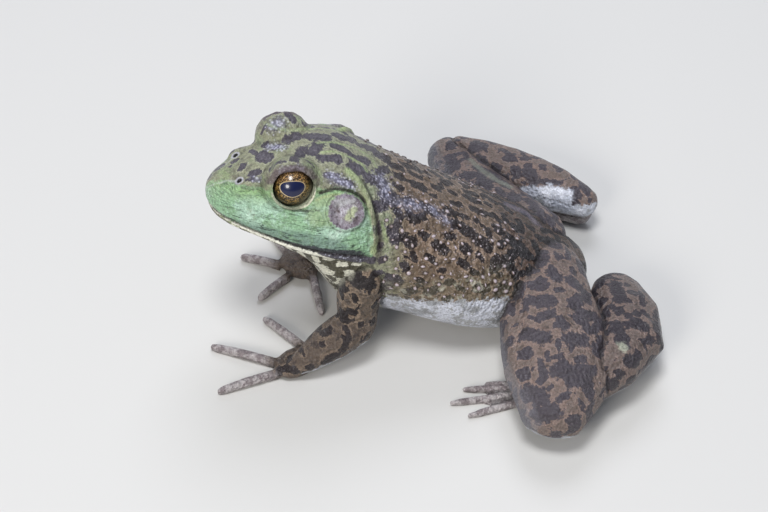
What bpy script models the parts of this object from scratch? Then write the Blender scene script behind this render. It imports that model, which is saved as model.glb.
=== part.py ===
"""American bullfrog, sitting, life size, as one closed solid for each part of the body.

Points are (left, back, up) in millimetres, from the floor under the tip of the snout.
The frog faces -Y and its left side is +X. The finished nodes stand on z = 0, with the
origin under the middle of the whole animal.
"""

import math

import bmesh
import bpy
import numpy as np
from mathutils import Matrix, Vector
from mathutils.bvhtree import BVHTree

MM = 0.001
GAP = 0.3
MIDDLE_LEFT = 6.4
MIDDLE_BACK = 73.5

# Head and trunk: (back, value) along the body, from the snout to the vent. The trunk
# is bent a little to the left behind the head.
TORSO_BACK = 131.0
BACK_LINE = [(0, 57.5), (2, 61.6), (8, 65.0), (20, 70), (34, 73), (46, 71), (60, 62.5),
             (80, 50), (93, 42), (106, 34.5), (119, 26.5), (127, 20), (131, 14.5)]
BELLY_LINE = [(0, 56.5), (2, 52.5), (10, 47.5), (22, 42.5), (29, 38.5), (34, 31), (38, 22),
              (43, 14), (52, 9), (65, 6), (80, 3), (94, 0), (106, -0.9), (118, -0.6),
              (126, 2.5), (131, 9)]
HALF_WIDTH = [(0, 1.0), (1.5, 5.5), (5.3, 10.4), (9.5, 13.7), (18.2, 18.9), (26.8, 23.3),
              (35.6, 26.2), (45, 27.3), (56, 26.5), (68, 27.8), (80, 29.6), (92, 28.8),
              (104, 26), (115, 21), (124, 14), (131, 3)]
WIDEST_HEIGHT = [(0, 57), (5, 54.2), (25, 50.6), (43, 46.8), (56, 39), (70, 30), (82, 25),
                 (94, 21), (108, 17), (120, 14), (131, 12)]
BEND_LEFT = [(0, 0), (30, 0), (48, 0.5), (64, 2.3), (80, 4.2), (100, 5), (131, 4.6)]
UPPER_SQUARENESS = 2.15
LOWER_SQUARENESS = 2.1
TORSO_SECTIONS = 70
TORSO_SIDES = 48
TORSO_END = 0.3
TORSO_CELL = 0.9
TORSO_SOFTENING = 7
TORSO_TRIANGLES = 2450

# Rises on both sides of the torso, as an ellipsoid's centre and radii: the brow in front of
# the eye, and the shoulder over the root of the fore limb.
BROW = ((8.8, 16.5, 63.2), (3.8, 8.5, 3.4))
SHOULDER = ((20, 54, 39), (8, 10, 12))

# The mouth, neck and throat cuts meet at the corner of the mouth.
MOUTH_CORNER = (50.5, 45.1)
MOUTH_SLOPE = -0.19
NECK_TOP = (54.5, 70.0)
THROAT = (29.0, 36.5)

# Eyes and ears. The eardrum's place on the side of the head is found on a line that starts
# EAR_OUTSIDE from its centre, and its seat is cut EAR_CLEARANCE higher than the drum.
EYE_CENTRE = (12.4, 27.2, 67.3)
EYE_RADIUS = 7.2
EYE_OPENING = 6.3
EYE_LIFT = math.radians(26)
EYE_SEGMENTS = 16
EYE_RINGS = 10
LID_THICKNESS = 1.6
LID_LENGTHENING = 0.4
LID_HEIGHTENING = 0.3
EAR_CENTRE = (21.6, 43.9, 60.6)
EAR_LIFT = math.radians(33)
EAR_RADIUS = 6.1
EAR_TAPER = 0.5
EAR_THICKNESS = 1.3
EAR_CLEARANCE = 5
EAR_OUTSIDE = 20
EAR_SEGMENTS = 20

# Fore limbs: (left, back, up, side radius, height radius) along each bone.
ARM_LEFT = {
    "upper_arm": [(19, 51, 40, 9, 8.5), (22, 49, 31, 8.6, 8), (23.5, 47.5, 22, 7.6, 7.2),
                  (26, 47, 14.5, 6.6, 6.4)],
    "forearm": [(26, 47, 14, 6.6, 6.4), (28.5, 40, 11.6, 7, 6.6), (31, 33, 8.6, 5.8, 5.4),
                (32.8, 27.5, 5.8, 4.2, 3.8), (33, 24.5, 4.4, 3.6, 3)],
    "palm": (29.5, 25.5),
    "palm_turn": 122,
    "fingers": [((25, 33), (12.5, 41)), ((23.5, 30), (4.6, 16.7)), ((28, 18.5), (16.3, -2.8)),
                ((33, 19), (38.5, -2.5))],
}
ARM_RIGHT = {
    "upper_arm": [(-19, 52, 40, 9, 8.5), (-22.5, 51, 31, 8.6, 8), (-25.5, 50.5, 22, 7.6, 7.2),
                  (-28, 51, 14.5, 6.6, 6.4)],
    "forearm": [(-28, 51, 14, 6.6, 6.4), (-28, 46, 11.6, 7, 6.6), (-26, 41, 8.6, 5.8, 5.4),
                (-23.5, 37, 5.8, 4.2, 3.8), (-22, 35, 4.4, 3.6, 3)],
    "palm": (-20.0, 32.5),
    "palm_turn": 30,
    "fingers": [((-14, 36.5), (6.0, 37.3)), ((-14.5, 27.5), (-4.9, 15.9)),
                ((-21, 26), (-28.6, 11.8)), ((-25.5, 29.5), (-41.0, 24.0))],
}
PALM_RADII = (8.6, 6.4, 3.1)
PALM_HEIGHT = 2.7
FINGER_ROOT_RADIUS = 2.1
FINGER_TIP_RADIUS = 1.5
FINGER_HEIGHT = 1.75
FINGER_ARCH = 0.5

# A digit's sections stand at these shares of its length, those at a knuckle a little thicker,
# and its tip is rounded by two more.
DIGIT_SHARES = (0.0, 0.3, 0.55, 0.88)
KNUCKLE_SHARES = (0.55, 0.88)
KNUCKLE_RISE = 0.12
TIP_LENGTH = 0.75
TIP_SHOULDER = 0.85
TIP_END = 0.4

# Hind limbs, in the same way. The tarsus lies on the floor under the shank.
LEG_LEFT = {
    "thigh": [(15, 114.5, 18, 14, 12), (30, 112, 17.4, 16.2, 12.6), (48, 111, 16.2, 18.6, 12),
              (63, 108.6, 14.4, 17.6, 10.8), (74, 104.6, 12.6, 12.2, 8.8)],
    "shank": [(72, 106, 13.2, 8.6, 7.8), (61.5, 119, 13.8, 9, 8.2), (49.5, 134.8, 14.4, 12, 9),
              (37.5, 138.6, 14.2, 11.9, 8.6), (27, 138.2, 13.2, 10.6, 7.6),
              (20.5, 138.6, 12.4, 8.8, 6.2)],
    "tarsus": [(22.5, 141.8, 6.0, 5.2, 4.8), (30, 139, 4.2, 5.2, 4.4), (43, 129, 2.9, 5, 3.2),
               (52, 120.5, 2.4, 5, 2.6)],
    "sole": (54.0, 116.5),
    "toe_tips": [(50.0, 97.0), (47.5, 87.0), (49.0, 79.0), (54.8, 73.6), (61.5, 78.5)],
}
LEG_RIGHT = {
    "thigh": [(-4, 114, 17, 13.5, 11.5), (-20, 107.5, 14.8, 13, 10.8), (-37, 101, 12.8, 11.8, 9.4),
              (-50, 97.5, 11.6, 10.4, 8.4), (-62, 95, 11.2, 8.8, 7.8)],
    "shank": [(-62, 97, 11.4, 8.8, 7.6), (-55, 108, 12, 9.8, 8), (-45.5, 119.5, 12.4, 10.2, 8.2),
              (-38, 128.5, 12.2, 9.2, 7.8), (-32.5, 135.5, 11.8, 7.4, 6.8),
              (-29.5, 138.5, 11.4, 6, 5.8)],
    "tarsus": [(-30.5, 138.5, 5.8, 5.2, 4.8), (-36, 131.5, 4, 5.2, 4.2), (-43.5, 121, 2.7, 5, 3),
               (-49.5, 112, 2.2, 5, 2.4)],
    "sole": (-50.5, 108.5),
    "toe_tips": [(-43.0, 91.0), (-40.0, 81.0), (-42.5, 72.5), (-49.5, 66.5), (-57.5, 71.0)],
}
SOLE_RADII = (7.5, 6.5, 2.5)
SOLE_HEIGHT = 1.7
TOE_ROOT_RADIUS = 1.9
TOE_TIP_RADIUS = 1.3
TOE_HEIGHT = 1.3
TOE_ARCH = 0.1
TOE_ROOT_SHARE = 0.12
WEB_THICKNESS = 1.3
WEB_BELOW_FLOOR = 0.2
WEB_REACH = 0.82
WEB_NOTCH = 0.86
FOOT_CELL = 0.55
FOOT_SOFTENING = 2
FOOT_TRIANGLES = 340

LIMB_SIDES = 12
LIMB_RINGS = 6
END_ANGLES = (70, 38)

PARTS = bpy.data.collections.new("bullfrog")
CUTTERS = bpy.data.collections.new("cutters")

SKIN_COLOURS = {
    "head": (0.36, 0.50, 0.25), "lower_jaw": (0.55, 0.58, 0.42), "trunk": (0.26, 0.20, 0.14),
    "tympanum": (0.30, 0.24, 0.22), "eye": (0.35, 0.20, 0.06), "arm": (0.22, 0.18, 0.13),
    "hand": (0.45, 0.40, 0.33), "leg": (0.30, 0.23, 0.18), "foot": (0.36, 0.30, 0.25),
}


def point(left, back, up):
    """A place on the frog, in metres."""
    return Vector((left, back, up)) * MM


def smooth_curve(places, values, place):
    """The value at one place of a smooth curve through the values at the given places."""
    slopes = np.gradient(values, places, axis=0)
    i = int(np.clip(np.searchsorted(places, place) - 1, 0, len(places) - 2))
    span = places[i + 1] - places[i]
    t = (place - places[i]) / span
    return ((2 * t**3 - 3 * t**2 + 1) * values[i] + (t**3 - 2 * t**2 + t) * span * slopes[i]
            + (3 * t**2 - 2 * t**3) * values[i + 1] + (t**3 - t**2) * span * slopes[i + 1])


def profile(points, back):
    """Height or width at one place along the body. The curve is drawn over the angle of a
    half circle, so that it turns round the snout and the vent."""
    places, values = np.array(points, dtype=float).T
    angles = np.arccos(np.clip(1 - 2 * places / TORSO_BACK, -1, 1))
    angle = math.acos(max(-1.0, min(1.0, 1 - 2 * back / TORSO_BACK)))
    return smooth_curve(angles, values, angle)


def rounded(value, squareness):
    """One coordinate of a superellipse, from the sine or cosine of its angle."""
    return math.copysign(abs(value) ** (2 / squareness), value)


def add_rings(mesh, rings):
    """Skin a run of rings of points, closed at both ends."""
    loops = [[mesh.verts.new(place) for place in ring] for ring in rings]
    for first, second in zip(loops, loops[1:]):
        for i in range(len(first)):
            j = (i + 1) % len(first)
            mesh.faces.new((first[i], first[j], second[j], second[i]))
    mesh.faces.new(loops[0])
    mesh.faces.new(loops[-1])
    bmesh.ops.recalc_face_normals(mesh, faces=mesh.faces)


def add_ellipsoid(mesh, centre, radii, turn=0, segments=24, rings=14):
    """A scaled sphere, turned about the vertical, its centre and radii in millimetres."""
    place = (Matrix.Translation(point(*centre)) @ Matrix.Rotation(math.radians(turn), 4, "Z")
             @ Matrix.Diagonal((*(Vector(radii) * MM), 1)))
    bmesh.ops.create_uvsphere(mesh, u_segments=segments, v_segments=rings, radius=1, matrix=place)


def skin_material(name, colour, roughness=0.4):
    """A plain material in one of the animal's colours."""
    material = bpy.data.materials.new(name)
    material.use_nodes = True
    shader = material.node_tree.nodes["Principled BSDF"]
    shader.inputs["Base Color"].default_value = (*SKIN_COLOURS[colour], 1)
    shader.inputs["Roughness"].default_value = roughness
    shader.inputs["Metallic"].default_value = 0
    return material


def new_part(name, mesh, colour, roughness=0.45):
    """Turn a bmesh into a named object with its own material."""
    data = bpy.data.meshes.new(name)
    mesh.to_mesh(data)
    mesh.free()
    part = bpy.data.objects.new(name, data)
    PARTS.objects.link(part)
    data.materials.append(skin_material(name, colour, roughness))
    data.shade_smooth()
    return part


def bake(part):
    """Replace a part's mesh by what its modifiers make of it."""
    bpy.context.view_layer.update()
    graph = bpy.context.evaluated_depsgraph_get()
    data = bpy.data.meshes.new_from_object(part.evaluated_get(graph))
    part.modifiers.clear()
    part.data = data


def melt(part, cell, rounds, triangles):
    """Run overlapping shapes into one soft body of about so many triangles."""
    remesh = part.modifiers.new("Melt", "REMESH")
    remesh.mode = "VOXEL"
    remesh.voxel_size = cell * MM
    smooth = part.modifiers.new("Soften", "SMOOTH")
    smooth.iterations = rounds
    bake(part)
    facets = part.modifiers.new("Facets", "DECIMATE")
    facets.ratio = triangles / (2 * len(part.data.polygons))
    facets.use_collapse_triangulate = True
    bake(part)


def drop_crumbs(mesh):
    """Delete the tiny loose bodies that a cut can leave beside the main one."""
    unseen = set(mesh.verts)
    bodies = []
    while unseen:
        body = {unseen.pop()}
        front = list(body)
        while front:
            vert = front.pop()
            near = {edge.other_vert(vert) for edge in vert.link_edges} & unseen
            unseen -= near
            body |= near
            front += near
        bodies.append(body)
    largest = max(bodies, key=len)
    crumbs = [vert for body in bodies if body is not largest for vert in body]
    bmesh.ops.delete(mesh, geom=crumbs, context="VERTS")


def clean_up(part):
    """Make a part's cuts final and leave it as one body."""
    bake(part)
    mesh = bmesh.new()
    mesh.from_mesh(part.data)
    drop_crumbs(mesh)
    mesh.to_mesh(part.data)
    mesh.free()


def keep_side(part, place, outward):
    """Cut a part flat through a place and keep what lies on the outward side."""
    mesh = bmesh.new()
    mesh.from_mesh(part.data)
    cut = bmesh.ops.bisect_plane(mesh, geom=mesh.verts[:] + mesh.edges[:] + mesh.faces[:],
                                 plane_co=place, plane_no=outward, clear_inner=True)
    edges = [item for item in cut["geom_cut"] if isinstance(item, bmesh.types.BMEdge)]
    bmesh.ops.holes_fill(mesh, edges=edges)
    bmesh.ops.triangulate(mesh, faces=[face for face in mesh.faces if len(face.verts) > 4])
    bmesh.ops.recalc_face_normals(mesh, faces=mesh.faces)
    mesh.to_mesh(part.data)
    mesh.free()


def rest_flat(part):
    """Cut off what would reach below the floor, which leaves a small flat."""
    keep_side(part, Vector((0, 0, 0)), Vector((0, 0, 1)))


def copy_part(part, name):
    """A second part of the same shape."""
    copy = part.copy()
    copy.data = part.data.copy()
    copy.name = name
    copy.data.name = name
    PARTS.objects.link(copy)
    return copy


def new_cutter(name, mesh):
    """Turn a bmesh into a hidden cutter."""
    data = bpy.data.meshes.new(name)
    mesh.to_mesh(data)
    mesh.free()
    cutter = bpy.data.objects.new(name, data)
    cutter.hide_render = True
    cutter.display_type = "WIRE"
    CUTTERS.objects.link(cutter)
    return cutter


def swollen(part, name):
    """A cutter that is one gap larger than a part, all over."""
    mesh = bmesh.new()
    mesh.from_mesh(part.data)
    bmesh.ops.recalc_face_normals(mesh, faces=mesh.faces)
    moves = [(vert, vert.normal * vert.calc_shell_factor() * GAP * MM) for vert in mesh.verts]
    for vert, move in moves:
        vert.co += move
    return new_cutter(name, mesh)


def carve(part, cutter):
    """Take a cutter's shape out of a part."""
    cut = part.modifiers.new(cutter.name, "BOOLEAN")
    cut.operation = "DIFFERENCE"
    cut.solver = "EXACT"
    cut.object = cutter


def rounded_end(stop, outward, angle):
    """A smaller section past a limb's last one, on the way round its end."""
    centre, side, height = stop
    reach, waist = math.sin(math.radians(angle)), math.cos(math.radians(angle))
    return centre + outward * reach * min(side, height), side * waist, height * waist


def add_limb(mesh, stations):
    """A bone's length of limb: oval sections along a smooth line, round at both ends."""
    table = np.array(stations, dtype=float)
    places = np.concatenate([[0], np.cumsum(np.linalg.norm(np.diff(table[:, :3], axis=0), axis=1))])
    line = []
    for place in np.linspace(0, places[-1], LIMB_RINGS):
        left, back, up, side, height = smooth_curve(places, table, place)
        line.append((Vector((left, back, up)), side, height))
    first = (line[1][0] - line[0][0]).normalized()
    last = (line[-1][0] - line[-2][0]).normalized()
    stops = [rounded_end(line[0], -first, angle) for angle in END_ANGLES]
    stops += line
    stops += [rounded_end(line[-1], last, angle) for angle in reversed(END_ANGLES)]

    across = first.cross(Vector((0, 0, 1)))
    if across.length < 0.5:
        across = Vector((1, 0, 0))
    rings = []
    for i, (centre, side, height) in enumerate(stops):
        ahead = stops[min(i + 1, len(stops) - 1)][0] - stops[max(i - 1, 0)][0]
        ahead.normalize()
        across = (across - ahead * across.dot(ahead)).normalized()
        upward = across.cross(ahead)
        ring = []
        for k in range(LIMB_SIDES):
            turn = math.tau * k / LIMB_SIDES
            offset = across * side * math.cos(turn) + upward * height * math.sin(turn)
            ring.append((centre + offset) * MM)
        rings.append(ring)
    add_rings(mesh, rings)


def add_digit(mesh, places, radii):
    """A finger or toe: a tapered tube with a round tip, from a curve with a bevel."""
    curve = bpy.data.curves.new("digit", "CURVE")
    curve.dimensions = "3D"
    curve.bevel_depth = MM
    curve.bevel_resolution = 1
    curve.use_fill_caps = True
    spline = curve.splines.new("POLY")
    spline.points.add(len(places) - 1)
    for knot, place, radius in zip(spline.points, places, radii):
        knot.co = (*point(*place), 1)
        knot.radius = radius
    tube = bpy.data.objects.new("digit", curve)
    CUTTERS.objects.link(tube)
    bpy.context.view_layer.update()
    graph = bpy.context.evaluated_depsgraph_get()
    data = bpy.data.meshes.new_from_object(tube.evaluated_get(graph))
    mesh.from_mesh(data)
    bmesh.ops.remove_doubles(mesh, verts=mesh.verts, dist=0.00001)
    bpy.data.objects.remove(tube)


def digit_line(root, tip, height, arch, root_radius, tip_radius):
    """Places and radii along a digit that arches a little from its root to its tip."""
    start = Vector((*root, height))
    end = Vector((*tip, height - arch))
    length = (end - start).length
    places, radii = [], []
    for share in DIGIT_SHARES:
        place = start.lerp(end, share)
        place.z += arch * math.sin(math.pi * share)
        places.append(tuple(place))
        knuckle = KNUCKLE_RISE if share in KNUCKLE_SHARES else 0.0
        radii.append(root_radius + (tip_radius - root_radius) * share + knuckle)
    places.append(tuple(start.lerp(end, 1 - TIP_LENGTH / length)))
    radii.append(tip_radius * TIP_SHOULDER)
    places.append(tuple(end))
    radii.append(tip_radius * TIP_END)
    return places, radii


def make_torso():
    """Head and trunk in one: sections along the body, eye domes, brows and shoulders."""
    mesh = bmesh.new()
    rings = []
    for i in range(TORSO_SECTIONS):
        share = (i + TORSO_END) / (TORSO_SECTIONS - 1 + 2 * TORSO_END)
        back = TORSO_BACK * (1 - math.cos(math.pi * share)) / 2
        top, bottom = profile(BACK_LINE, back), profile(BELLY_LINE, back)
        middle, width = profile(WIDEST_HEIGHT, back), profile(HALF_WIDTH, back)
        bend = profile(BEND_LEFT, back)
        ring = []
        for k in range(TORSO_SIDES):
            turn = math.tau * k / TORSO_SIDES
            if math.sin(turn) >= 0:
                reach, squareness = top - middle, UPPER_SQUARENESS
            else:
                reach, squareness = middle - bottom, LOWER_SQUARENESS
            ring.append(point(bend + width * rounded(math.cos(turn), squareness), back,
                              middle + reach * rounded(math.sin(turn), squareness)))
        rings.append(ring)
    add_rings(mesh, rings)
    left, back, up = EYE_CENTRE
    dome = EYE_RADIUS + LID_THICKNESS
    lids = ((left, back, up), (dome, dome + LID_LENGTHENING, dome + LID_HEIGHTENING))
    for side in (-1, 1):
        for (left, back, up), radii in (lids, BROW, SHOULDER):
            add_ellipsoid(mesh, (side * left, back, up), radii)
    torso = new_part("torso", mesh, "trunk")
    melt(torso, TORSO_CELL, TORSO_SOFTENING, TORSO_TRIANGLES)
    rest_flat(torso)
    return torso


def side_plane(first, second, outward_up):
    """The plane across the body through two (back, up) places, and its normal."""
    back, up = second[0] - first[0], second[1] - first[1]
    normal = Vector((0, -up, back)).normalized()
    if (normal.z > 0) != outward_up:
        normal.negate()
    return point(0, *first), normal


def part_torso(torso):
    """Thin flat cuts part the head, the lower jaw and the trunk. Gives back the head."""
    half = GAP * MM / 2
    lip_front = (0, MOUTH_CORNER[1] - MOUTH_SLOPE * MOUTH_CORNER[0])
    mouth, above_mouth = side_plane(lip_front, MOUTH_CORNER, True)
    neck, before_neck = side_plane(MOUTH_CORNER, NECK_TOP, True)
    throat, before_throat = side_plane(THROAT, MOUTH_CORNER, True)
    head = copy_part(torso, "head")
    keep_side(head, mouth + above_mouth * half, above_mouth)
    keep_side(head, neck + before_neck * half, before_neck)
    jaw = copy_part(torso, "lower_jaw")
    keep_side(jaw, mouth - above_mouth * half, -above_mouth)
    keep_side(jaw, throat + before_throat * half, before_throat)
    trunk = copy_part(torso, "trunk")
    corner = point(0, *MOUTH_CORNER)
    up_neck = (point(0, *NECK_TOP) - corner).normalized() * TORSO_BACK * MM
    down_throat = (point(0, *THROAT) - corner).normalized() * TORSO_BACK * MM
    clear = (before_neck + before_throat) * half / (1 + before_neck.dot(before_throat))
    outline = [corner, corner + up_neck, corner + up_neck + down_throat, corner + down_throat]
    wedge = bmesh.new()
    add_rings(wedge, [[place - clear + Vector((across, 0, 0)) for place in outline]
                      for across in (-TORSO_BACK * MM / 2, TORSO_BACK * MM / 2)])
    carve(trunk, new_cutter("head_wedge", wedge))
    for part in (head, jaw, trunk):
        part.data.materials[0] = skin_material(part.name, part.name)
    return head


def aimed(side, centre, lift):
    """A frame at one side of the head whose Z axis looks out and up."""
    axis = Vector((side * math.cos(lift), 0, math.sin(lift)))
    turn = axis.to_track_quat("Z", "Y").to_matrix().to_4x4()
    left, back, up = centre
    return Matrix.Translation(point(side * left, back, up)) @ turn


def make_eye(side_name, side, head):
    """An eyeball in its socket, seen through the round opening between the lids."""
    frame = aimed(side, EYE_CENTRE, EYE_LIFT)
    ball = bmesh.new()
    bmesh.ops.create_uvsphere(ball, u_segments=EYE_SEGMENTS, v_segments=EYE_RINGS,
                              radius=EYE_RADIUS * MM, matrix=frame)
    new_part("eye_" + side_name, ball, "eye", roughness=0.08)
    socket = bmesh.new()
    bmesh.ops.create_uvsphere(socket, u_segments=EYE_SEGMENTS, v_segments=EYE_RINGS,
                              radius=(EYE_RADIUS + GAP) * MM, matrix=frame)
    opening = bmesh.new()
    reach = 2 * EYE_RADIUS * MM
    bmesh.ops.create_cone(opening, cap_ends=True, segments=EYE_SEGMENTS, radius1=EYE_OPENING * MM,
                          radius2=EYE_OPENING * MM, depth=reach,
                          matrix=frame @ Matrix.Translation((0, 0, reach / 2)))
    carve(head, new_cutter("socket_" + side_name, socket))
    carve(head, new_cutter("lid_opening_" + side_name, opening))


def make_ear(side_name, side, head):
    """The round eardrum, a shallow disc let into the side of the head."""
    frame = aimed(side, EAR_CENTRE, EAR_LIFT)
    outward = frame.to_3x3() @ Vector((0, 0, 1))
    mesh = bmesh.new()
    mesh.from_mesh(head.data)
    surface = BVHTree.FromBMesh(mesh)
    outside = frame.translation + outward * EAR_OUTSIDE * MM
    frame.translation = surface.ray_cast(outside, -outward)[0]
    mesh.free()
    depth = EAR_THICKNESS * MM
    disc = bmesh.new()
    bmesh.ops.create_cone(disc, cap_ends=True, segments=EAR_SEGMENTS, radius1=EAR_RADIUS * MM,
                          radius2=(EAR_RADIUS - EAR_TAPER) * MM, depth=depth,
                          matrix=frame @ Matrix.Translation((0, 0, -depth / 2)))
    new_part("tympanum_" + side_name, disc, "tympanum", roughness=0.5)
    seat = bmesh.new()
    reach = EAR_CLEARANCE * MM
    bmesh.ops.create_cone(seat, cap_ends=True, segments=EAR_SEGMENTS, radius1=(EAR_RADIUS + GAP) * MM,
                          radius2=(EAR_RADIUS + GAP) * MM, depth=reach + depth,
                          matrix=frame @ Matrix.Translation((0, 0, (reach - depth) / 2 - GAP * MM)))
    carve(head, new_cutter("ear_seat_" + side_name, seat))


def part_joint(near, far, joint, near_end, far_end):
    """Cut two bones' lengths apart at their joint, on the plane that halves its angle."""
    place = point(*joint)
    normal = ((point(*near_end) - place).normalized() - (point(*far_end) - place).normalized())
    normal.normalize()
    half = GAP * MM / 2
    keep_side(near, place + normal * half, normal)
    keep_side(far, place - normal * half, -normal)


def make_arm(side_name, arm, torso_cutter):
    """Upper arm, forearm, palm and four fingers."""
    bones = {}
    for bone in ("upper_arm", "forearm"):
        mesh = bmesh.new()
        add_limb(mesh, arm[bone])
        bones[bone] = new_part(bone + "_" + side_name, mesh, "arm")
    upper, fore = bones["upper_arm"], bones["forearm"]
    part_joint(upper, fore, arm["forearm"][0][:3], arm["upper_arm"][1][:3], arm["forearm"][2][:3])
    mesh = bmesh.new()
    add_ellipsoid(mesh, (*arm["palm"], PALM_HEIGHT), PALM_RADII, turn=arm["palm_turn"],
                  segments=14, rings=8)
    palm = new_part("palm_" + side_name, mesh, "hand")
    rest_flat(palm)
    rest_flat(fore)
    palm_cutter = swollen(palm, "round_palm_" + side_name)
    carve(upper, torso_cutter)
    carve(fore, palm_cutter)
    for number, (root, tip) in enumerate(arm["fingers"], start=1):
        mesh = bmesh.new()
        add_digit(mesh, *digit_line(root, tip, FINGER_HEIGHT, FINGER_ARCH,
                                    FINGER_ROOT_RADIUS, FINGER_TIP_RADIUS))
        finger = new_part("finger_%d_%s" % (number, side_name), mesh, "hand")
        rest_flat(finger)
        carve(finger, palm_cutter)


def make_foot(side_name, leg, tarsus_cutter):
    """The webbed hind foot: a sole, five toes and the thin web between them."""
    mesh = bmesh.new()
    sole = Vector(leg["sole"])
    add_ellipsoid(mesh, (*sole, SOLE_HEIGHT), SOLE_RADII, segments=14, rings=8)
    web = []
    for tip in leg["toe_tips"]:
        root = sole.lerp(Vector(tip), TOE_ROOT_SHARE)
        add_digit(mesh, *digit_line(root, tip, TOE_HEIGHT, TOE_ARCH,
                                    TOE_ROOT_RADIUS, TOE_TIP_RADIUS))
        web.append(sole.lerp(Vector(tip), WEB_REACH))
    outline = [sole]
    for first, second in zip(web, web[1:]):
        outline += [first, sole.lerp((first + second) / 2, WEB_NOTCH)]
    outline.append(web[-1])
    floor, top = [], []
    for place in outline:
        floor.append(mesh.verts.new(point(*place, -WEB_BELOW_FLOOR)))
        top.append(mesh.verts.new(point(*place, WEB_THICKNESS)))
    count = len(outline)
    faces = [mesh.faces.new(top), mesh.faces.new(floor[::-1])]
    for i in range(count):
        j = (i + 1) % count
        faces.append(mesh.faces.new((floor[i], floor[j], top[j], top[i])))
    bmesh.ops.recalc_face_normals(mesh, faces=faces)
    foot = new_part("foot_" + side_name, mesh, "foot")
    melt(foot, FOOT_CELL, FOOT_SOFTENING, FOOT_TRIANGLES)
    rest_flat(foot)
    carve(foot, tarsus_cutter)
    return foot


def make_leg(side_name, leg, torso_cutter):
    """Thigh, shank, tarsus and webbed foot, folded as in sitting."""
    bones = {}
    for bone in ("thigh", "shank", "tarsus"):
        mesh = bmesh.new()
        add_limb(mesh, leg[bone])
        bones[bone] = new_part(bone + "_" + side_name, mesh, "leg")
    thigh, shank, tarsus = bones["thigh"], bones["shank"], bones["tarsus"]
    rest_flat(tarsus)
    tarsus_cutter = swollen(tarsus, "round_tarsus_" + side_name)
    foot = make_foot(side_name, leg, tarsus_cutter)
    foot_cutter = swollen(foot, "round_foot_" + side_name)
    carve(shank, swollen(thigh, "round_thigh_" + side_name))
    for part in (thigh, shank):
        carve(part, torso_cutter)
        carve(part, tarsus_cutter)
        carve(part, foot_cutter)


def build():
    """Make every part of the frog and set it on its origin."""
    for item in list(bpy.data.objects):
        bpy.data.objects.remove(item)
    for collection in (PARTS, CUTTERS):
        bpy.context.scene.collection.children.link(collection)
    torso = make_torso()
    torso_cutter = swollen(torso, "round_torso")
    head = part_torso(torso)
    bpy.data.objects.remove(torso)
    for side_name, side, arm, leg in (("left", 1, ARM_LEFT, LEG_LEFT),
                                      ("right", -1, ARM_RIGHT, LEG_RIGHT)):
        make_ear(side_name, side, head)
        make_eye(side_name, side, head)
        make_arm(side_name, arm, torso_cutter)
        make_leg(side_name, leg, torso_cutter)
    for part in PARTS.objects:
        clean_up(part)
    middle = bpy.data.objects.new("middle", None)
    PARTS.objects.link(middle)
    middle.location = point(-MIDDLE_LEFT, -MIDDLE_BACK, 0)
    for item in list(PARTS.objects) + list(CUTTERS.objects):
        if item is not middle:
            item.parent = middle


build()
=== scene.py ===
import math

import bmesh
import bpy
import numpy as np
from mathutils import Matrix, Vector, noise
from mathutils.bvhtree import BVHTree


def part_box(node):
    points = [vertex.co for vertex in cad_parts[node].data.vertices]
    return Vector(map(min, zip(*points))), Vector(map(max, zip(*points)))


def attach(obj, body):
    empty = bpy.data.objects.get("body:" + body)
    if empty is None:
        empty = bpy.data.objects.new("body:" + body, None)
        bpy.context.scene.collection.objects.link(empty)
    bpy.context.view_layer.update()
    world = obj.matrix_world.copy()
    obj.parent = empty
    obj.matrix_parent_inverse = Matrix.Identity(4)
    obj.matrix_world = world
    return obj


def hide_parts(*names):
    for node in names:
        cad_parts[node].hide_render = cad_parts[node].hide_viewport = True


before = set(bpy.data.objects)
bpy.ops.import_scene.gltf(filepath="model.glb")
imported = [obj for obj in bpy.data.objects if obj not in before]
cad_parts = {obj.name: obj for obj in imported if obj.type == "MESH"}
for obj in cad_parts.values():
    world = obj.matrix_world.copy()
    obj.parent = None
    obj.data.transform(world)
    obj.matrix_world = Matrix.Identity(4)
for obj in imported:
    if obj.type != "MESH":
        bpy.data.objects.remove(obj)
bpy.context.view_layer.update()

# Body form. The trunk, head, limbs and digits of the solid model are laid together and their
# hairline gaps closed, so that one skin can be drawn over the whole animal. Places on the frog
# are (left, back, up) in millimetres, from the floor under the tip of its snout.
MM = 0.001
SEAM_FILL = 0.26
SKIN_GRAIN = 0.5
EYE = (12.4, 27.2, 67.3)
EYE_RADIUS = 7.2
EYE_LIFT = math.radians(26)
eyes_low, eyes_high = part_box("eye_right")[0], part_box("eye_left")[1]
snout = (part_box("eye_left")[0].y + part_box("eye_left")[1].y) / 2 - EYE[1] * MM
ORIGIN = np.array([(eyes_low.x + eyes_high.x) / 2, snout, 0.0])
FLESH = [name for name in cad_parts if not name.startswith("eye_")]


def place(left, back, up):
    """A place on the frog, in metres in the frame of the solids."""
    return Vector(np.array([left, back, up]) * MM + ORIGIN)


form = bmesh.new()
for name in FLESH:
    solid = bmesh.new()
    solid.from_mesh(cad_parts[name].data)
    bmesh.ops.remove_doubles(solid, verts=solid.verts, dist=1e-6)
    solid.normal_update()
    for vertex in solid.verts:
        vertex.co += vertex.normal * SEAM_FILL * MM
    swollen = bpy.data.meshes.new("swollen")
    solid.to_mesh(swollen)
    form.from_mesh(swollen)
    solid.free()

# Eyelids. Soft rolls of skin round each eyeball: a thin lower lid that stands close round the
# eye, and a thicker upper lid that hangs over the top of it. They are laid on as small pellets,
# which melt into the skin when it is drawn.
LID_ROLL = 0.72
LID_SINK = 0.05
PELLET_STEP = 0.5
LID_OUTER = 7.45
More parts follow.
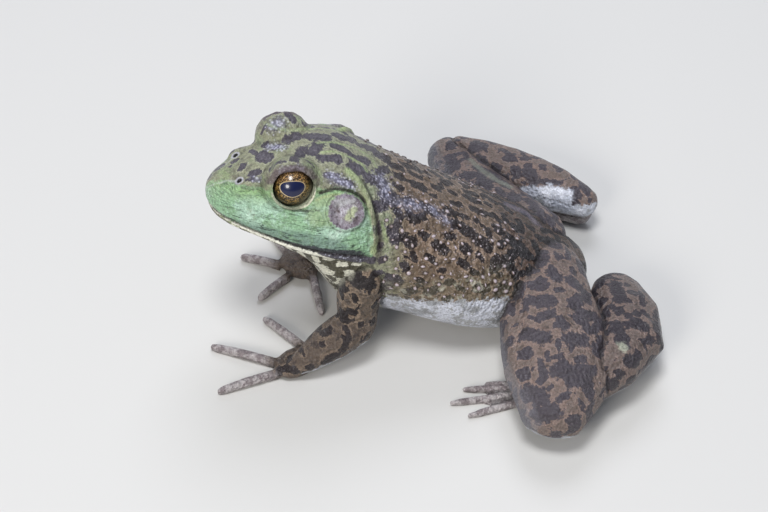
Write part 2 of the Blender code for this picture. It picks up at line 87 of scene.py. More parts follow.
# The lids' opening: degrees round the eye, from its tail side over the top, and the half width.
LID_OPENING = [(-180, 6.5), (-135, 6.65), (-90, 6.85), (-45, 7.0), (0, 6.95), (25, 6.6), (50, 5.95),
               (75, 5.3), (90, 5.1), (110, 5.3), (135, 5.9), (160, 6.35), (180, 6.5)]


def eye_axes(side):
    """The eye's own axes: out through the pupil, towards the tail, and up."""
    outward = Vector((side * math.cos(EYE_LIFT), 0, math.sin(EYE_LIFT)))
    upward = Vector((-side * math.sin(EYE_LIFT), 0, math.cos(EYE_LIFT)))
    return outward, Vector((0, 1, 0)), upward


def on_side(spot, side):
    """A spot of the left side, kept there (1) or carried over to the right side (-1)."""
    return np.array([side * spot[0], spot[1], spot[2]])


def profile(knots, value):
    """The height, over a value, of a line through knots."""
    return np.interp(value, *zip(*knots))


def lid_opening(angle):
    """Half the width of the lids' opening, at an angle round the eye in degrees."""
    return profile(LID_OPENING, (angle + 180) % 360 - 180)


for side in (-1, 1):
    outward, backward, upward = eye_axes(side)
    centre = place(*on_side(EYE, side))
    reach = EYE_RADIUS + LID_ROLL - LID_SINK
    for angle in range(0, 360, 4):
        turn = math.radians(angle)
        across = backward * math.cos(turn) + upward * math.sin(turn)
        opening = lid_opening(angle) + LID_ROLL * 0.9
        while opening < LID_OUTER + 0.4:
            depth = math.sqrt(max(reach ** 2 - opening ** 2, 0))
            spot = centre + (outward * depth + across * opening) * MM
            bmesh.ops.create_icosphere(form, subdivisions=2, radius=LID_ROLL * MM,
                                       matrix=Matrix.Translation(spot))
            opening += PELLET_STEP

# Skin. One moist sheet over the head, body and limbs, as on a cast and painted museum model. It
# is drawn over the form, relaxed until no join shows, and then worked with its folds, lips,
# nostrils and eardrums.
rough = bpy.data.meshes.new("rough_skin")
form.to_mesh(rough)
form.free()


def new_object(name, data):
    """An object in the scene, at the origin."""
    made = bpy.data.objects.new(name, data)
    bpy.context.scene.collection.objects.link(made)
    return made


def settle(piece):
    """The piece's modifiers become its plain mesh."""
    depsgraph = bpy.context.evaluated_depsgraph_get()
    made = bpy.data.meshes.new_from_object(piece.evaluated_get(depsgraph))
    piece.modifiers.clear()
    piece.data = made


skin = new_object("skin", rough)
draw = skin.modifiers.new("draw", "REMESH")
draw.mode = "VOXEL"
draw.voxel_size = SKIN_GRAIN * MM
settle(skin)


def read_mesh(mesh):
    """Its points in millimetres on the frog, and the two ends of each edge."""
    points = np.empty(len(mesh.vertices) * 3, np.float32)
    mesh.vertices.foreach_get("co", points)
    ends = np.empty(len(mesh.edges) * 2, np.int32)
    mesh.edges.foreach_get("vertices", ends)
    return (points.reshape(-1, 3).astype(float) - ORIGIN) / MM, ends.reshape(-1, 2)


def write_points(mesh, points):
    """Puts a mesh's points at places on the frog."""
    mesh.vertices.foreach_set("co", (points * MM + ORIGIN).astype(np.float32).ravel())
    mesh.update()


def neighbours_mean(values, ends):
    """For every point, the mean of the points it is joined to."""
    a, b = ends[:, 0], ends[:, 1]
    count = np.bincount(a, minlength=len(values)) + np.bincount(b, minlength=len(values))
    total = [np.bincount(a, values[b, k], len(values)) + np.bincount(b, values[a, k], len(values))
             for k in range(values.shape[1])]
    return np.stack(total, 1) / np.maximum(count, 1)[:, None]


def keep_largest(mesh):
    """Drops closed pockets inside the skin."""
    points, ends = read_mesh(mesh)
    label = np.arange(len(points))
    while True:
        low = np.minimum(label[ends[:, 0]], label[ends[:, 1]])
        new = label.copy()
        np.minimum.at(new, ends[:, 0], low)
        np.minimum.at(new, ends[:, 1], low)
        new = new[new]
        if (new == label).all():
            break
        label = new
    largest = np.bincount(label).argmax()
    work = bmesh.new()
    work.from_mesh(mesh)
    loose = [vertex for vertex, tag in zip(work.verts, label) if tag != largest]
    bmesh.ops.delete(work, geom=loose, context="VERTS")
    work.to_mesh(mesh)
    work.free()


keep_largest(skin.data)
points, ends = read_mesh(skin.data)


def blend(low, high, value):
    """0 below low, 1 above high, and a smooth step between."""
    t = np.clip((value - low) / (high - low), 0, 1)
    return t * t * (3 - 2 * t)


owners, solids_points, solids_faces = [], [], []
for name in FLESH:
    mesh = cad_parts[name].data
    start = len(solids_points)
    solids_points += [vertex.co.copy() for vertex in mesh.vertices]
    solids_faces += [[start + i for i in face.vertices] for face in mesh.polygons]
    owners += [name] * len(mesh.polygons)
solids = BVHTree.FromPolygons(solids_points, solids_faces)


def part_masks(points, ends, soften):
    """How far each point belongs to the head, arms, legs, fingers and feet, and to the thighs."""
    part_of = [owners[solids.find_nearest(Vector(p * MM + ORIGIN))[2]] for p in points]
    kinds = [("head", "lower_jaw", "tympanum"), ("upper_arm", "forearm"), ("thigh", "shank"),
             ("finger", "palm"), ("foot", "tarsus"), ("thigh",)]
    masks = np.array([[float(name.startswith(kind)) for kind in kinds] for name in part_of])
    for _ in range(soften):
        masks = neighbours_mean(masks, ends) * 0.6 + masks * 0.4
    return masks.T


def from_pair(points, spot):
    """Distance from the nearer of a spot and its mirror image."""
    return np.min([np.linalg.norm(points - on_side(spot, side), axis=1) for side in (-1, 1)], axis=0)


def round_eye(points, side):
    """Points from an eye's middle, along its axes tailwards, up and out, and the lids' opening there."""
    outward, backward, upright = (np.array(axis) for axis in eye_axes(side))
    gap = points - on_side(EYE, side)
    across, rise = gap @ backward, gap @ upright
    return across, rise, gap @ outward, lid_opening(np.degrees(np.arctan2(rise, across)))


# The skin is pulled flat and let out by turns, so that it keeps its size. The fingers, toes and
# lids are held closer to their form.
RELAX_ROUNDS = 90
RELAX_PULLS = (0.63, -0.64)
DIGIT_HOLD, LID_HOLD = 0.55, 0.88
head, arm, leg, finger, foot, thigh = part_masks(points, ends, soften=6)
digit = np.clip(finger + foot, 0, 1)
from_eye = from_pair(points, EYE)
freedom = (1 - DIGIT_HOLD * digit) * (1 - LID_HOLD + LID_HOLD * blend(9.0, 12.5, from_eye))
freedom = freedom[:, None]
for _ in range(RELAX_ROUNDS):
    for pull in RELAX_PULLS:
        points = points + pull * freedom * (neighbours_mean(points, ends) - points)
points[:, 2] = np.maximum(points[:, 2], 0)

# The edge of each lid is drawn back to its opening, clear of the eyeball.
for side in (-1, 1):
    across, rise, out, opening = round_eye(points, side)
    from_axis = np.maximum(np.hypot(across, rise), 0.01)
    on_lid = (out > 0.5) & (from_eye < 10) & (from_axis > 3.5)
    drawn = np.where(on_lid, np.maximum(opening / from_axis - 1, 0), 0)[:, None]
    outward, backward, upright = (np.array(axis) for axis in eye_axes(side))
    points += drawn * (across[:, None] * backward + rise[:, None] * upright)
write_points(skin.data, points)


def line_distance(points, line):
    """Distance from each point to a line through places on the frog, and how far along it."""
    best = np.full(len(points), 1e6)
    along = np.zeros(len(points))
    line = np.array(line, float)
    lengths = np.linalg.norm(np.diff(line, axis=0), axis=1)
    reach = np.concatenate([[0], np.cumsum(lengths)])
    for i, (start, end) in enumerate(zip(line[:-1], line[1:])):
        step = end - start
        t = np.clip((points - start) @ step / (step @ step), 0, 1)
        gap = np.linalg.norm(points - start - t[:, None] * step, axis=1)
        closer = gap < best
        best[closer] = gap[closer]
        along[closer] = (reach[i] + t[closer] * lengths[i]) / reach[-1]
    return best, along


def normals_of(mesh):
    """The outward direction at each point."""
    normals = np.empty(len(mesh.vertices) * 3, np.float32)
    mesh.vertices.foreach_get("normal", normals)
    return normals.reshape(-1, 3).astype(float)


def other_side(rows):
    """The same places, or the same strokes between two places, on the right side."""
    return [tuple(-value if i in (0, 3) else value for i, value in enumerate(row)) for row in rows]


def bell(distance, width):
    """1 at no distance, and falling smoothly over a width."""
    return np.exp(-(distance / width) ** 2)


def relief_of(distance, rows):
    """Rises and hollows round a middle: each row is its distance, width and height."""
    return sum(height * bell(distance - middle, width) for middle, width, height in rows)


# Each fold: its line on the left side, its width and its height (a crease is below 0).
EAR_CREASE = [(17.6, 34.4, 66.3), (18.1, 36.1, 67.1), (17.8, 37.8, 67.4), (17.3, 40.0, 67.6),
              (17.1, 42.5, 67.3), (17.2, 44.6, 66.6), (17.3, 46.8, 65.6), (17.8, 48.6, 64.5),
              (18.6, 49.9, 63.2), (20.2, 50.9, 61.0)]
NECK_RIDGE = [(11.0, 46.0, 69.3), (12.5, 47.5, 68), (14.2, 49.1, 66.4), (16.1, 50.5, 64.6),
              (18.2, 51.3, 62.7), (20.6, 52, 60.1), (22.7, 52.4, 56.1), (25.1, 52.3, 53.2),
              (26.2, 52.3, 50.5), (27.0, 52.0, 47.5)]
NECK_GROOVE = [(11.5, 49.5, 67.6), (13, 50.6, 66.3), (15.3, 51.8, 64.6), (18, 53.0, 62),
               (20.3, 53.7, 59.7), (23, 54.2, 56.3), (24.9, 54.6, 52.8), (25.8, 54.7, 50.7),
               (27, 54.2, 46.6), (27.6, 53.8, 43.5)]
LID_CREASE = [(17.2, 19.6, 69.5), (18.1, 20.2, 68.1), (19.1, 21.3, 65.7), (19.4, 23.5, 63.6),
              (20.3, 27.4, 62.6), (21.2, 31.1, 62.5), (21.5, 33.2, 63.1)]
CHEEK_CREASE = [(21.5, 33.2, 63.1), (22, 35.3, 62.9), (21.6, 38.1, 62.4)]
SNOUT_RIDGE = [(7.0, 12.5, 66.2), (9.1, 17.0, 68.0), (11.5, 20.0, 71.0)]
CHEEK_ROLL = [(24.5, 36, 55.5), (26.2, 42, 54.5), (27, 47, 52.5)]
FOLDS = [(EAR_CREASE, 0.7, -0.75), (NECK_RIDGE, 1.25, 1.25), (NECK_GROOVE, 1.0, -0.6),
         (LID_CREASE, 0.7, -0.55), (CHEEK_CREASE, 0.5, -0.3), (SNOUT_RIDGE, 1.8, 0.45),
         (CHEEK_ROLL, 2.6, 0.25)]
# The line of the mouth: its height under the snout tip, its fall for each mm back, and its end.
MOUTH_FRONT, MOUTH_FALL, MOUTH_END = 54.7, 0.173, 51.0
LIP_RELIEF = [(0, 0.42, -0.85), (-1.15, 0.75, 0.55)]
NOSTRIL = (6.6, 10.9, 65.6)
NOSTRIL_RELIEF = [(1.15, 0.55, 0.28), (0, 0.62, -1.6)]
EAR = (21.3, 43.9, 61.05)
EAR_LIFT = math.radians(33)
EAR_RADIUS = 6.1
# Of an eardrum's radius: a raised rim with a groove round it, and a shallow dish with a low boss.
EAR_RELIEF = [(0.96, 0.07, 0.22), (1.09, 0.07, -0.16), (0.62, 0.2, -0.3), (0, 0.25, 0.15)]
KNEE_FOLD, BODY_FOLD = 0.7, 0.5
LUMPS, LUMP_SIZE, LUMP_GRAIN = 0.32, 3.4, 1.5
RIPPLES, RIPPLE_LENGTH, RIPPLE_HEIGHT = 0.16, 6, 2.2
DIGIT_SLIMMING = 0.45


def mouth_height(points):
    """Height above the line of the mouth, square to it."""
    return (points[:, 2] - MOUTH_FRONT + MOUTH_FALL * points[:, 1]) / math.hypot(1, MOUTH_FALL)


def ear_distance(points, side):
    """Distance from the middle of an eardrum, in the plane of the drum, as a share of it."""
    outward = np.array([side * math.cos(EAR_LIFT), 0, math.sin(EAR_LIFT)])
    gap = points - on_side(EAR, side)
    out = gap @ outward
    flat = np.linalg.norm(gap - out[:, None] * outward, axis=1) / EAR_RADIUS
    return np.where(np.abs(out) < 4.5, flat, 3.0)


normals = normals_of(skin.data)
lift = np.zeros(len(points))
for line, width, height in FOLDS:
    for sided in (line, other_side(line)):
        gap, along = line_distance(points, sided)
        fade = blend(0, 0.15, along) * blend(0, 0.15, 1 - along)
        lift += height * fade * bell(gap, width)

in_mouth = head * blend(MOUTH_END + 1.5, MOUTH_END - 1.5, points[:, 1])
lift += in_mouth * relief_of(mouth_height(points), LIP_RELIEF)
for side in (-1, 1):
    gap = np.linalg.norm(points - on_side(NOSTRIL, side), axis=1)
    lift += relief_of(gap, NOSTRIL_RELIEF) + relief_of(ear_distance(points, side), EAR_RELIEF)

# The back and flanks are lumpy, the rest has low ripples, and the skin sinks in where a shank
# meets its thigh and a limb meets the body.
rugged = blend(30, 60, points[:, 1]) * (1 - 0.7 * head) * blend(14, 30, points[:, 2])
elsewhere = Vector((9, 9, 9))
lumps = np.array([noise.noise(Vector(p) / LUMP_SIZE) + 0.5 * noise.noise(Vector(p) / LUMP_GRAIN + elsewhere)
                  for p in points])
lift += LUMPS * rugged * lumps
ripple_size = np.array([RIPPLE_LENGTH, RIPPLE_LENGTH, RIPPLE_HEIGHT])
ripples = np.array([noise.noise(Vector(p)) for p in points / ripple_size])
lift += RIPPLES * ripples * (1 - rugged) * (1 - finger - foot) * blend(9.5, 12, from_eye)
torso = np.clip(1 - head - arm - leg - finger - foot, 0, 1)
knee_fold = 4 * thigh * np.clip(leg - thigh, 0, 1)
body_fold = 4 * torso * np.clip(arm + leg, 0, 1) * blend(0.85, 0.3, normals[:, 2])
lift -= KNEE_FOLD * knee_fold + BODY_FOLD * body_fold
points = points + normals * lift[:, None]
slim = normals * (DIGIT_SLIMMING * digit)[:, None]
slim[:, 2] = np.maximum(slim[:, 2], 0)
points = points - slim
points[:, 2] = np.maximum(points[:, 2], 0)
write_points(skin.data, points)

# The skin is thinned where it is plain, and stays fine over the head and fingers.
SKIN_TRIANGLES = 190000
fine = skin.vertex_groups.new(name="plain")
plain = 1 - np.clip(head * blend(62, 40, points[:, 1]) + 0.6 * finger, 0, 1)
for step in range(11):
    chosen = np.nonzero(np.round(plain * 10).astype(int) == step)[0]
    if len(chosen):
        fine.add(chosen.tolist(), step / 10, "REPLACE")
thin = skin.modifiers.new("thin", "DECIMATE")
thin.ratio = min(1.0, SKIN_TRIANGLES / (2 * len(skin.data.polygons)))
thin.vertex_group = "plain"
thin.vertex_group_factor = 1.0
settle(skin)
skin.vertex_groups.clear()
points, ends = read_mesh(skin.data)
head, arm, leg, finger, foot, thigh = part_masks(points, ends, soften=5)
normals = normals_of(skin.data)
skin.data.shade_smooth()

# Markings of the skin. Dark blotches stand apart in a pale net, long ones along the limbs and
# back, each laid as a short soft stroke: (left, back, up) of both its ends and its half width.
# The flanks fade to a white belly, and the face and lips are mint green. These are only masks:
# the paint below gives them their colours and ragged edges.
HEAD_BLOTCHES = [
    (0, 19, 70, 2, 21, 70, 1.5), (6, 15, 67, 6, 17, 68, 1.2), (12, 21, 74, 11, 23, 75, 1.0),
    (11, 23, 75, 12, 26, 76, 1.1), (11, 28, 76, 4, 31, 73, 1.4), (3, 32, 73, 2, 33, 73, 1.5),
    (3, 36, 73, 2, 37, 73, 1.9), (-4, 35, 73, -4, 40, 72, 1.6), (-12, 36, 71, -12, 37, 71, 1.2),
    (-6, 45, 71, -5, 47, 70, 1.5), (-5, 49, 69, -6, 50, 68, 1.6), (7, 38, 72, 7, 43, 71, 1.5),
    (1, 43, 72, 2, 45, 71, 1.1), (2, 46, 71, 3, 48, 70, 1.1), (4, 48, 70, 4, 53, 67, 1.5),
    (9, 48, 69, 9, 52, 67, 1.7), (-4, 52, 68, -5, 53, 66, 1.2), (-5, 54, 66, -6, 57, 64, 1.6),
    (-3, 58, 64, -4, 61, 62, 1.8), (-4, 29, 72, -5, 31, 73, 1.5), (2, 12, 67, 1, 13, 67, 0.9),
    (-3, 17, 69, -5, 16, 68, 0.8), (-15, 45, 67, -15, 48, 65, 1.0), (-14, 50, 65, -13, 54, 63, 1.2),
    (7.6, 13.4, 66.2, 8.2, 15, 66.8, 0.7), (13, 39, 70, 13, 42, 69, 0.9),
    (-13.8, 29.2, 75.9, -10.5, 30.5, 75.3, 0.9), (-14.5, 22, 73.5, -14.5, 26, 75.5, 1.0),
    (15, 42, 69, 15, 46, 67, 0.8), (9, 33, 73, 11, 34, 72, 0.7), (-12, 54, 64, -12, 58, 61, 1.5)]
BACK_BLOTCHES = [
    (8, 50, 68, 9, 52, 67, 1.3), (11, 53, 66, 11, 57, 63, 2.4), (15, 58, 61, 16, 60, 59, 3.1),
    (19, 61, 57, 20, 62, 55, 1.6), (-7, 57, 63, -5, 58, 63, 1.1), (-4, 67, 58, -4, 72, 54, 2.1),
    (-3, 81, 49, -4, 83, 47, 2.2), (1, 88, 45, 2, 90, 43, 1.7), (-5, 96, 39, -3, 99, 38, 1.9),
    (7, 89, 44, 7, 93, 42, 2.1), (6, 69, 57, 6, 72, 55, 2.2), (14, 71, 54, 15, 74, 52, 2.2),
    (19, 65, 55, 20, 67, 53, 1.9), (17, 81, 47, 18, 86, 44, 2.5), (20, 88, 42, 21, 92, 39, 2.5),
    (15, 101, 36, 19, 106, 32, 2.9), (13, 110, 32, 15, 110, 31, 1.8), (17, 112, 29, 21, 111, 29, 2.9),
    (16, 117, 30, 20, 117, 30, 1.1), (11, 123, 27, 19, 121, 29, 1.3), (24, 97, 35, 25, 99, 33, 2.4),
    (26, 102, 30, 24, 106, 29, 1.3), (4, 115, 29, 3, 118, 27, 1.6), (-3, 102, 36, 0, 104, 35, 1.7),
    (6, 97, 40, 8, 99, 39, 1.5), (25, 63, 50, 25, 65, 48, 2.2), (24, 59, 53, 25, 60, 50, 2.2),
    (25, 73, 46, 26, 76, 44, 1.9), (22, 77, 47, 22, 80, 46, 1.4), (28, 81, 40, 29, 83, 39, 1.6),
    (15, 93, 41, 17, 93, 40, 1.6), (8, 82, 49, 7, 85, 47, 1.4), (-5, 75, 52, -4, 76, 52, 1.3),
    (2, 82, 49, 2, 84, 47, 1.3), (8, 74, 53, 8, 76, 52, 1.2), (23, 68, 50, 23, 70, 49, 1.2),
    (28, 70, 44, 28, 72, 42, 1.3), (27, 65, 45, 28, 66, 43, 1.2), (25, 88, 40, 26, 89, 38, 1.2),
    (30, 85, 37, 30, 87, 36, 1.1), (28, 58, 36, 29, 60, 35, 2.4), (29, 63, 30, 30, 65, 31, 1.9),
    (31, 70, 31, 32, 72, 32, 1.9), (30, 67, 36, 30, 68, 35, 1.3), (32, 76, 35, 32, 78, 35, 1.3),
    (33, 80, 33, 33, 82, 32, 1.1), (30, 74, 39, 30, 75, 39, 1.2), (28, 62, 42, 29, 63, 40, 1.4),
    (0, 62, 62, 0, 66, 60, 2.0), (-2, 88, 44, -3, 92, 42, 1.8)]
LIMB_BLOTCHES = [
    (50, 100, 25, 54, 105, 26, 3.0), (56, 113, 27, 56, 117, 26, 3.0), (57, 97, 22, 58, 99, 24, 1.8),
    (67, 107, 24, 68, 115, 23, 3.4), (70, 96, 19, 74, 100, 20, 3.0), (79, 98, 17, 80, 102, 19, 3.1),
    (62, 106, 25, 62, 109, 26, 1.2), (64, 114, 25, 63, 116, 25, 1.4), (62, 102, 24, 65, 102, 23, 1.5),
    (62, 95, 20, 63, 96, 21, 1.2), (37, 103, 27, 38, 105, 28, 2.2), (38, 108, 29, 40, 110, 29, 2.4),
    (45, 106, 28, 45, 109, 28, 2.1), (45, 119, 28, 45, 125, 25, 2.6), (71, 110, 22, 71, 116, 21, 2.5),
    (54, 124, 23, 60, 122, 23, 2.1), (49, 125, 24, 44, 128, 21, 1.7), (44, 97, 23, 44, 98, 24, 0.9),
    (44, 102, 27, 45, 103, 27, 1.0), (40, 100, 25, 40, 101, 26, 1.0), (35, 113, 30, 35, 115, 29, 1.3),
    (82, 108, 16, 81, 110, 16, 1.9), (66, 119, 22, 67, 119, 22, 1.4), (77, 105, 21, 75, 108, 21, 1.4),
    (33, 107, 29, 33, 109, 29, 1.3), (64, 99, 23, 64, 99, 23, 0.9), (28, 130, 21, 31, 129, 24, 1.4),
    (25, 137, 19, 35, 136, 22, 2.5), (20, 145, 17, 19, 144, 17, 1.7), (31, 144, 21, 38, 143, 22, 1.2),
    (48, 138, 23, 49, 140, 22, 2.6), (54, 141, 20, 54, 141, 20, 2.1), (62, 132, 20, 62, 135, 19, 2.3),
    (66, 128, 18, 65, 129, 18, 1.5), (69, 124, 16, 68, 126, 16, 2.3), (44, 136, 23, 45, 136, 23, 1.6),
    (37, 132, 21, 41, 133, 22, 1.2), (42, 142, 22, 44, 143, 22, 1.4), (72, 120, 16, 71, 121, 17, 1.1),
    (32, 34, 15, 34, 34, 14, 1.0), (31, 27, 10, 34, 28, 10, 1.1), (36, 35, 9, 36, 38, 10, 2.1),
    (34, 21, 5, 36, 25, 5, 1.6), (33, 19, 4, 35, 19, 3, 1.2), (31, 42, 18, 33, 43, 17, 1.1),
    (35, 41, 13, 34, 42, 14, 1.5), (26, 42, 38, 28, 47, 39, 1.5), (24, 42, 32, 27, 43, 32, 1.7),
    (28, 46, 37, 30, 51, 35, 2.6), (30, 45, 31, 30, 46, 29, 1.3), (29, 52, 39, 28, 54, 39, 1.5),
    (-64, 100, 18, -64, 101, 18, 1.6), (-53, 113, 20, -49, 115, 20, 1.4),
    (-46, 119, 20, -46, 121, 20, 1.5), (-47, 125, 20, -48, 128, 17, 1.6),
    (-31, 138, 17, -28, 140, 16, 1.6), (-60, 110, 19, -58, 111, 19, 1.3), (-54, 99, 19, -50, 99, 20, 1.3),
    (-33, 128, 19, -33, 131, 18, 1.4)]
CREAM_PATCHES = [
    (26, 36.5, 46.6, 27, 38, 46, 1.3), (27, 41, 43.6, 27, 42.5, 43.6, 1.4), (28, 52, 41, 28, 55, 40, 1.2),
    (27, 46, 43.6, 28, 47.5, 43.4, 1.1), (25.6, 33.4, 48.3, 25.8, 34.8, 47.8, 1.2),
    (25, 33.4, 45.2, 25, 34, 44, 1.2), (24, 35, 40, 23, 36, 37, 1.4), (23, 37, 33, 22, 38, 28, 1.6),
    (22, 39, 24, 22, 40, 21, 1.3), (25, 33, 46, 25, 34, 44, 1.2), (24.5, 34.5, 40.5, 24.5, 37.5, 38.5, 2.2)]
PALE_LINES = [
    [(4.4, 38.3, 72.5), (3.7, 41.8, 72.0), (4.6, 45.0, 71.0), (5.4, 48.3, 69.6), (6.6, 51.5, 67.6),
     (8.6, 52.6, 66.5)],
    [(-0.3, 37.6, 72.7), (-1.1, 42.4, 72.0), (-0.8, 45.8, 71.0), (-0.7, 49.2, 69.3), (0, 52.5, 67.4),
     (1.0, 55.1, 65.7), (4.8, 56.5, 65.0)],
    [(-9.2, 34.6, 72.1), (-9.6, 37.4, 71.4), (-10.3, 40.9, 70.7), (-9.0, 45, 70)],
    [(-7.8, 31.9, 73.3), (-9.5, 34.4, 72.0), (-12, 36.1, 70.8)],
    [(22.5, 55.5, 55.9), (23.8, 55.9, 53.9), (24.9, 56.3, 51.7), (25.6, 56.6, 50.2)],
    [(19.7, 34.6, 65.5), (19.2, 36.6, 66.1), (19.0, 39.8, 66.3), (18.9, 42.5, 66.1)]]
SNOUT_LINE = [(6.0, 9.6, 65.0), (4.0, 7.3, 64.0), (3.6, 5.0, 62.9), (2.4, 2.5, 61.5), (1.1, 0.8, 59.6)]
EYE_LINE = [(14.5, 19.6, 71.5), (13.6, 20.6, 74.0), (11.0, 21.6, 75.0), (7.4, 25.0, 75.0),
            (6.6, 29.0, 74.5), (7.8, 32.9, 73.3), (9.5, 35.0, 72.3), (12.0, 36.3, 71.1),
            (14.8, 36.8, 69.5), (16.6, 36.4, 68.0)]
# Painted highlights and patches, laid in the same way: the first on one side only, the others on both.
PATCHES = {
    "inner white": [(-35, 118, 14, -32, 125, 16, 2.2), (-31, 126, 16, -28, 132, 16, 3.2),
                    (-29, 126, 12, -24, 137, 11, 2.4), (-37, 113, 13, -32, 122, 10, 1.8)],
    "fold spot": [(57.3, 130.7, 22.7, 58.3, 130.7, 22.5, 1.9)],
    "thigh light": [(-49, 100.2, 19.8, -41, 102.5, 21.2, 1.5), (-41, 102.5, 21.2, -33.3, 105.8, 22.6, 1.8),
                    (-33.3, 105.8, 22.6, -26.9, 110.3, 23.6, 1.5)],
    "rump light": [(-4.5, 105, 34, -4.5, 110.5, 30.8, 3.4), (-2.5, 112, 30, 1.5, 113.5, 29.6, 2.8)],
    # The sheen: painted reflections of the sky on the wet skin.
    "sheen": [(-9.2, 24.2, 74.9, -9.5, 26, 75.4, 4.5), (-3.5, 22, 70.6, -1, 26, 71.6, 3.2),
              (13.5, 40, 69.5, 16, 46, 66.5, 4.0), (9.5, 57, 62.9, 14.6, 58.4, 60.7, 5.0),
              (16, 62, 57, 15, 69, 55, 4.5), (14.2, 74, 52.2, 17, 78, 49, 3.5),
              (9, 16, 67.3, 9.5, 18, 67.4, 2.0), (15.0, 24.5, 75.0, 15.0, 30, 75.0, 2.4),
              (7.2, 14.6, 66.9, 8.7, 17.2, 67.4, 1.5)],
    "nape": [(-11, 18.7, 69.8, -6.8, 19.9, 69.6, 1.9), (-7.3, 31.4, 73.3, -5.6, 29, 72.7, 1.3)]}
PAIRED_PATCHES = {
    "nape": [(14, 54.5, 63.5, 21, 57, 56.5, 4.5), (23, 56.5, 53, 25.5, 56.5, 48, 2.8)],
    "temple": [(22.5, 34, 61, 22.5, 38, 60.5, 5.0), (20.2, 35, 64.6, 20.0, 38.5, 64.6, 3.0)],
    "drum light": [(22.4, 46.0, 62.0, 23.6, 44.2, 60.2, 2.3)],
    "drum top": [(20.6, 41, 64.2, 20.6, 46, 64.2, 2.4)]}


def strokes(points, rows):
    """1 on the middle line of the nearest stroke, 0 at its edge, and falling beyond."""
    field = np.full(len(points), -1.0)
    for row in rows:
        ends_of = np.array(row[:6], float).reshape(2, 3)
        width = row[6]
        near = ((points > ends_of.min(0) - 2 * width) & (points < ends_of.max(0) + 2 * width)).all(1)
        gap, _ = line_distance(points[near], ends_of + np.array([[0, 0, 0], [0.01, 0, 0]]))
        field[near] = np.maximum(field[near], 1 - gap / width)
    return field


MOST_STROKES = 320
STRAY = 0.35


def scattered(allowed, spacing, widths, lengths, along, taken, seed):
    """Strokes thrown over the skin at a spacing, clear of those taken; along is their run on the left."""
    shuffle = np.random.default_rng(seed)
    rows, kept = [], [np.array(row[:3]) for row in taken] + [np.array(row[3:6]) for row in taken]
    for i in shuffle.permutation(np.nonzero(allowed)[0]):
        spot = points[i]
        if len(kept) and (np.linalg.norm(np.array(kept) - spot, axis=1) < spacing).any():
            continue
        run = on_side(along, np.sign(spot[0])) + shuffle.normal(0, STRAY, 3)
        run -= (run @ normals[i]) * normals[i]
        run *= shuffle.uniform(*lengths) / max(np.linalg.norm(run), 1e-6) / 2
        rows.append((*(spot - run), *(spot + run), shuffle.uniform(*widths)))
        kept.append(spot)
        if len(rows) > MOST_STROKES:
            break
    return rows


left, back, height = points.T
sides = np.abs(left)
digit = np.clip(finger + foot, 0, 1)
upward = normals[:, 2]

# Each blend below comes in between two places on the frog, in millimetres, or between two shares
# of a field. The green of the face ends along the snout, over the eardrum and at the ridge of the
# neck. Its upper edge is a height less a share of the distance from the middle of the head.
FACE_SLANT = 0.45
GREEN_TOP = [(0, 59.6), (1.2, 60.0), (3.2, 60.7), (5.2, 61.0), (8, 61.5), (10.5, 61.5), (13, 61.1),
             (16, 60.5), (19, 61.0), (21, 62.2), (33, 61.2), (35, 60.6), (38, 59.7), (42.5, 59.7),
             (46.8, 57.9), (49.9, 55.0), (52, 51.0)]
GREEN_BACK = [(42, 51.2), (46, 52.2), (50, 52.2), (56, 52.0), (60, 51.6), (63, 50.9), (67, 48)]
above = mouth_height(points)
face_edge = profile(GREEN_TOP, back) - (left < 0) * (2.6 * blend(32, 20, back) + 1.5 * blend(34, 40, back))
under_edge = face_edge - height + FACE_SLANT * (np.hypot(sides, 4.5) - 0.6)
green = (blend(-2.0, 2.0, under_edge)
         * blend(-0.8, 0.8, profile(GREEN_BACK, height) - back) * blend(-0.5, 0.1, above))
lip_depth = profile([(5, 0.9), (18, 1.3), (27, 2.1)], back)
lip = blend(-lip_depth, 0.5 - lip_depth, above) * blend(0.1, -0.45, above) * blend(42, 33, back)
jaw_depth = profile([(34, 0.9), (38, 1.4), (44, 2.3), (50, 2.8)], back)
jaw_corner = (blend(-0.4, 0.4, above + jaw_depth) * blend(0.3, -0.2, above) * blend(30, 37, back)
              * blend(MOUTH_END + 1, MOUTH_END - 4, back) * (head > 0.3))
# Along the rear of the mouth a dark band: darker skin with a painted shadow of the overhanging upper lip.
shade_top = profile([(14, 0.45), (26, 1.2), (32.5, 2.0), (41, 2.5), (48, 2.7)], back)
lip_shade = blend(-0.6, -0.25, above) * blend(1.25, 0.6, above / shade_top)
lip_shade *= blend(10, 24, back) * blend(MOUTH_END + 1.5, MOUTH_END - 6, back) * (head > 0.3)

# The belly is white below the flanks, the throat dark olive with cream patches.
BELLY_TOP = [(50, 22), (56, 25), (64, 25.5), (72, 26), (80, 27), (92, 26), (98, 24), (104, 20), (115, 14),
             (131, 9)]
torso = np.clip(1 - arm - leg - finger - foot, 0, 1)
trunk = np.clip(torso - head, 0, 1)
over_belly = height - profile(BELLY_TOP, back)
belly = trunk * blend(4.5, -3.0, over_belly) * blend(42, 52, back) * blend(124, 106, back)
fringe = trunk * blend(13, 5, over_belly) * blend(50, 56, back) * blend(104, 92, back)
throat = torso * blend(0.1, -0.5, above + jaw_depth) * blend(52, 46, back + 0.25 * (height - 45))
under = np.clip((arm + leg) * blend(-0.15, -0.6, upward), 0, 1)
inner = leg * blend(0.25, 0.75, normals[:, 0] * np.where(left > 0, -1, 1)) * blend(16, 12, height)
shin_edge = leg * blend(0.35, 0.85, -normals[:, 1]) * blend(30, 44, sides) * blend(22, 16, height)
pale = np.clip(belly + under + inner, 0, 1)
whole_arm = np.clip(arm + finger, 0, 1)
forearm = whole_arm * blend(26, 14, height)
reticulate = np.clip(leg + 0.8 * arm + trunk * (0.62 + 0.38 * blend(76, 100, back)), 0, 1)

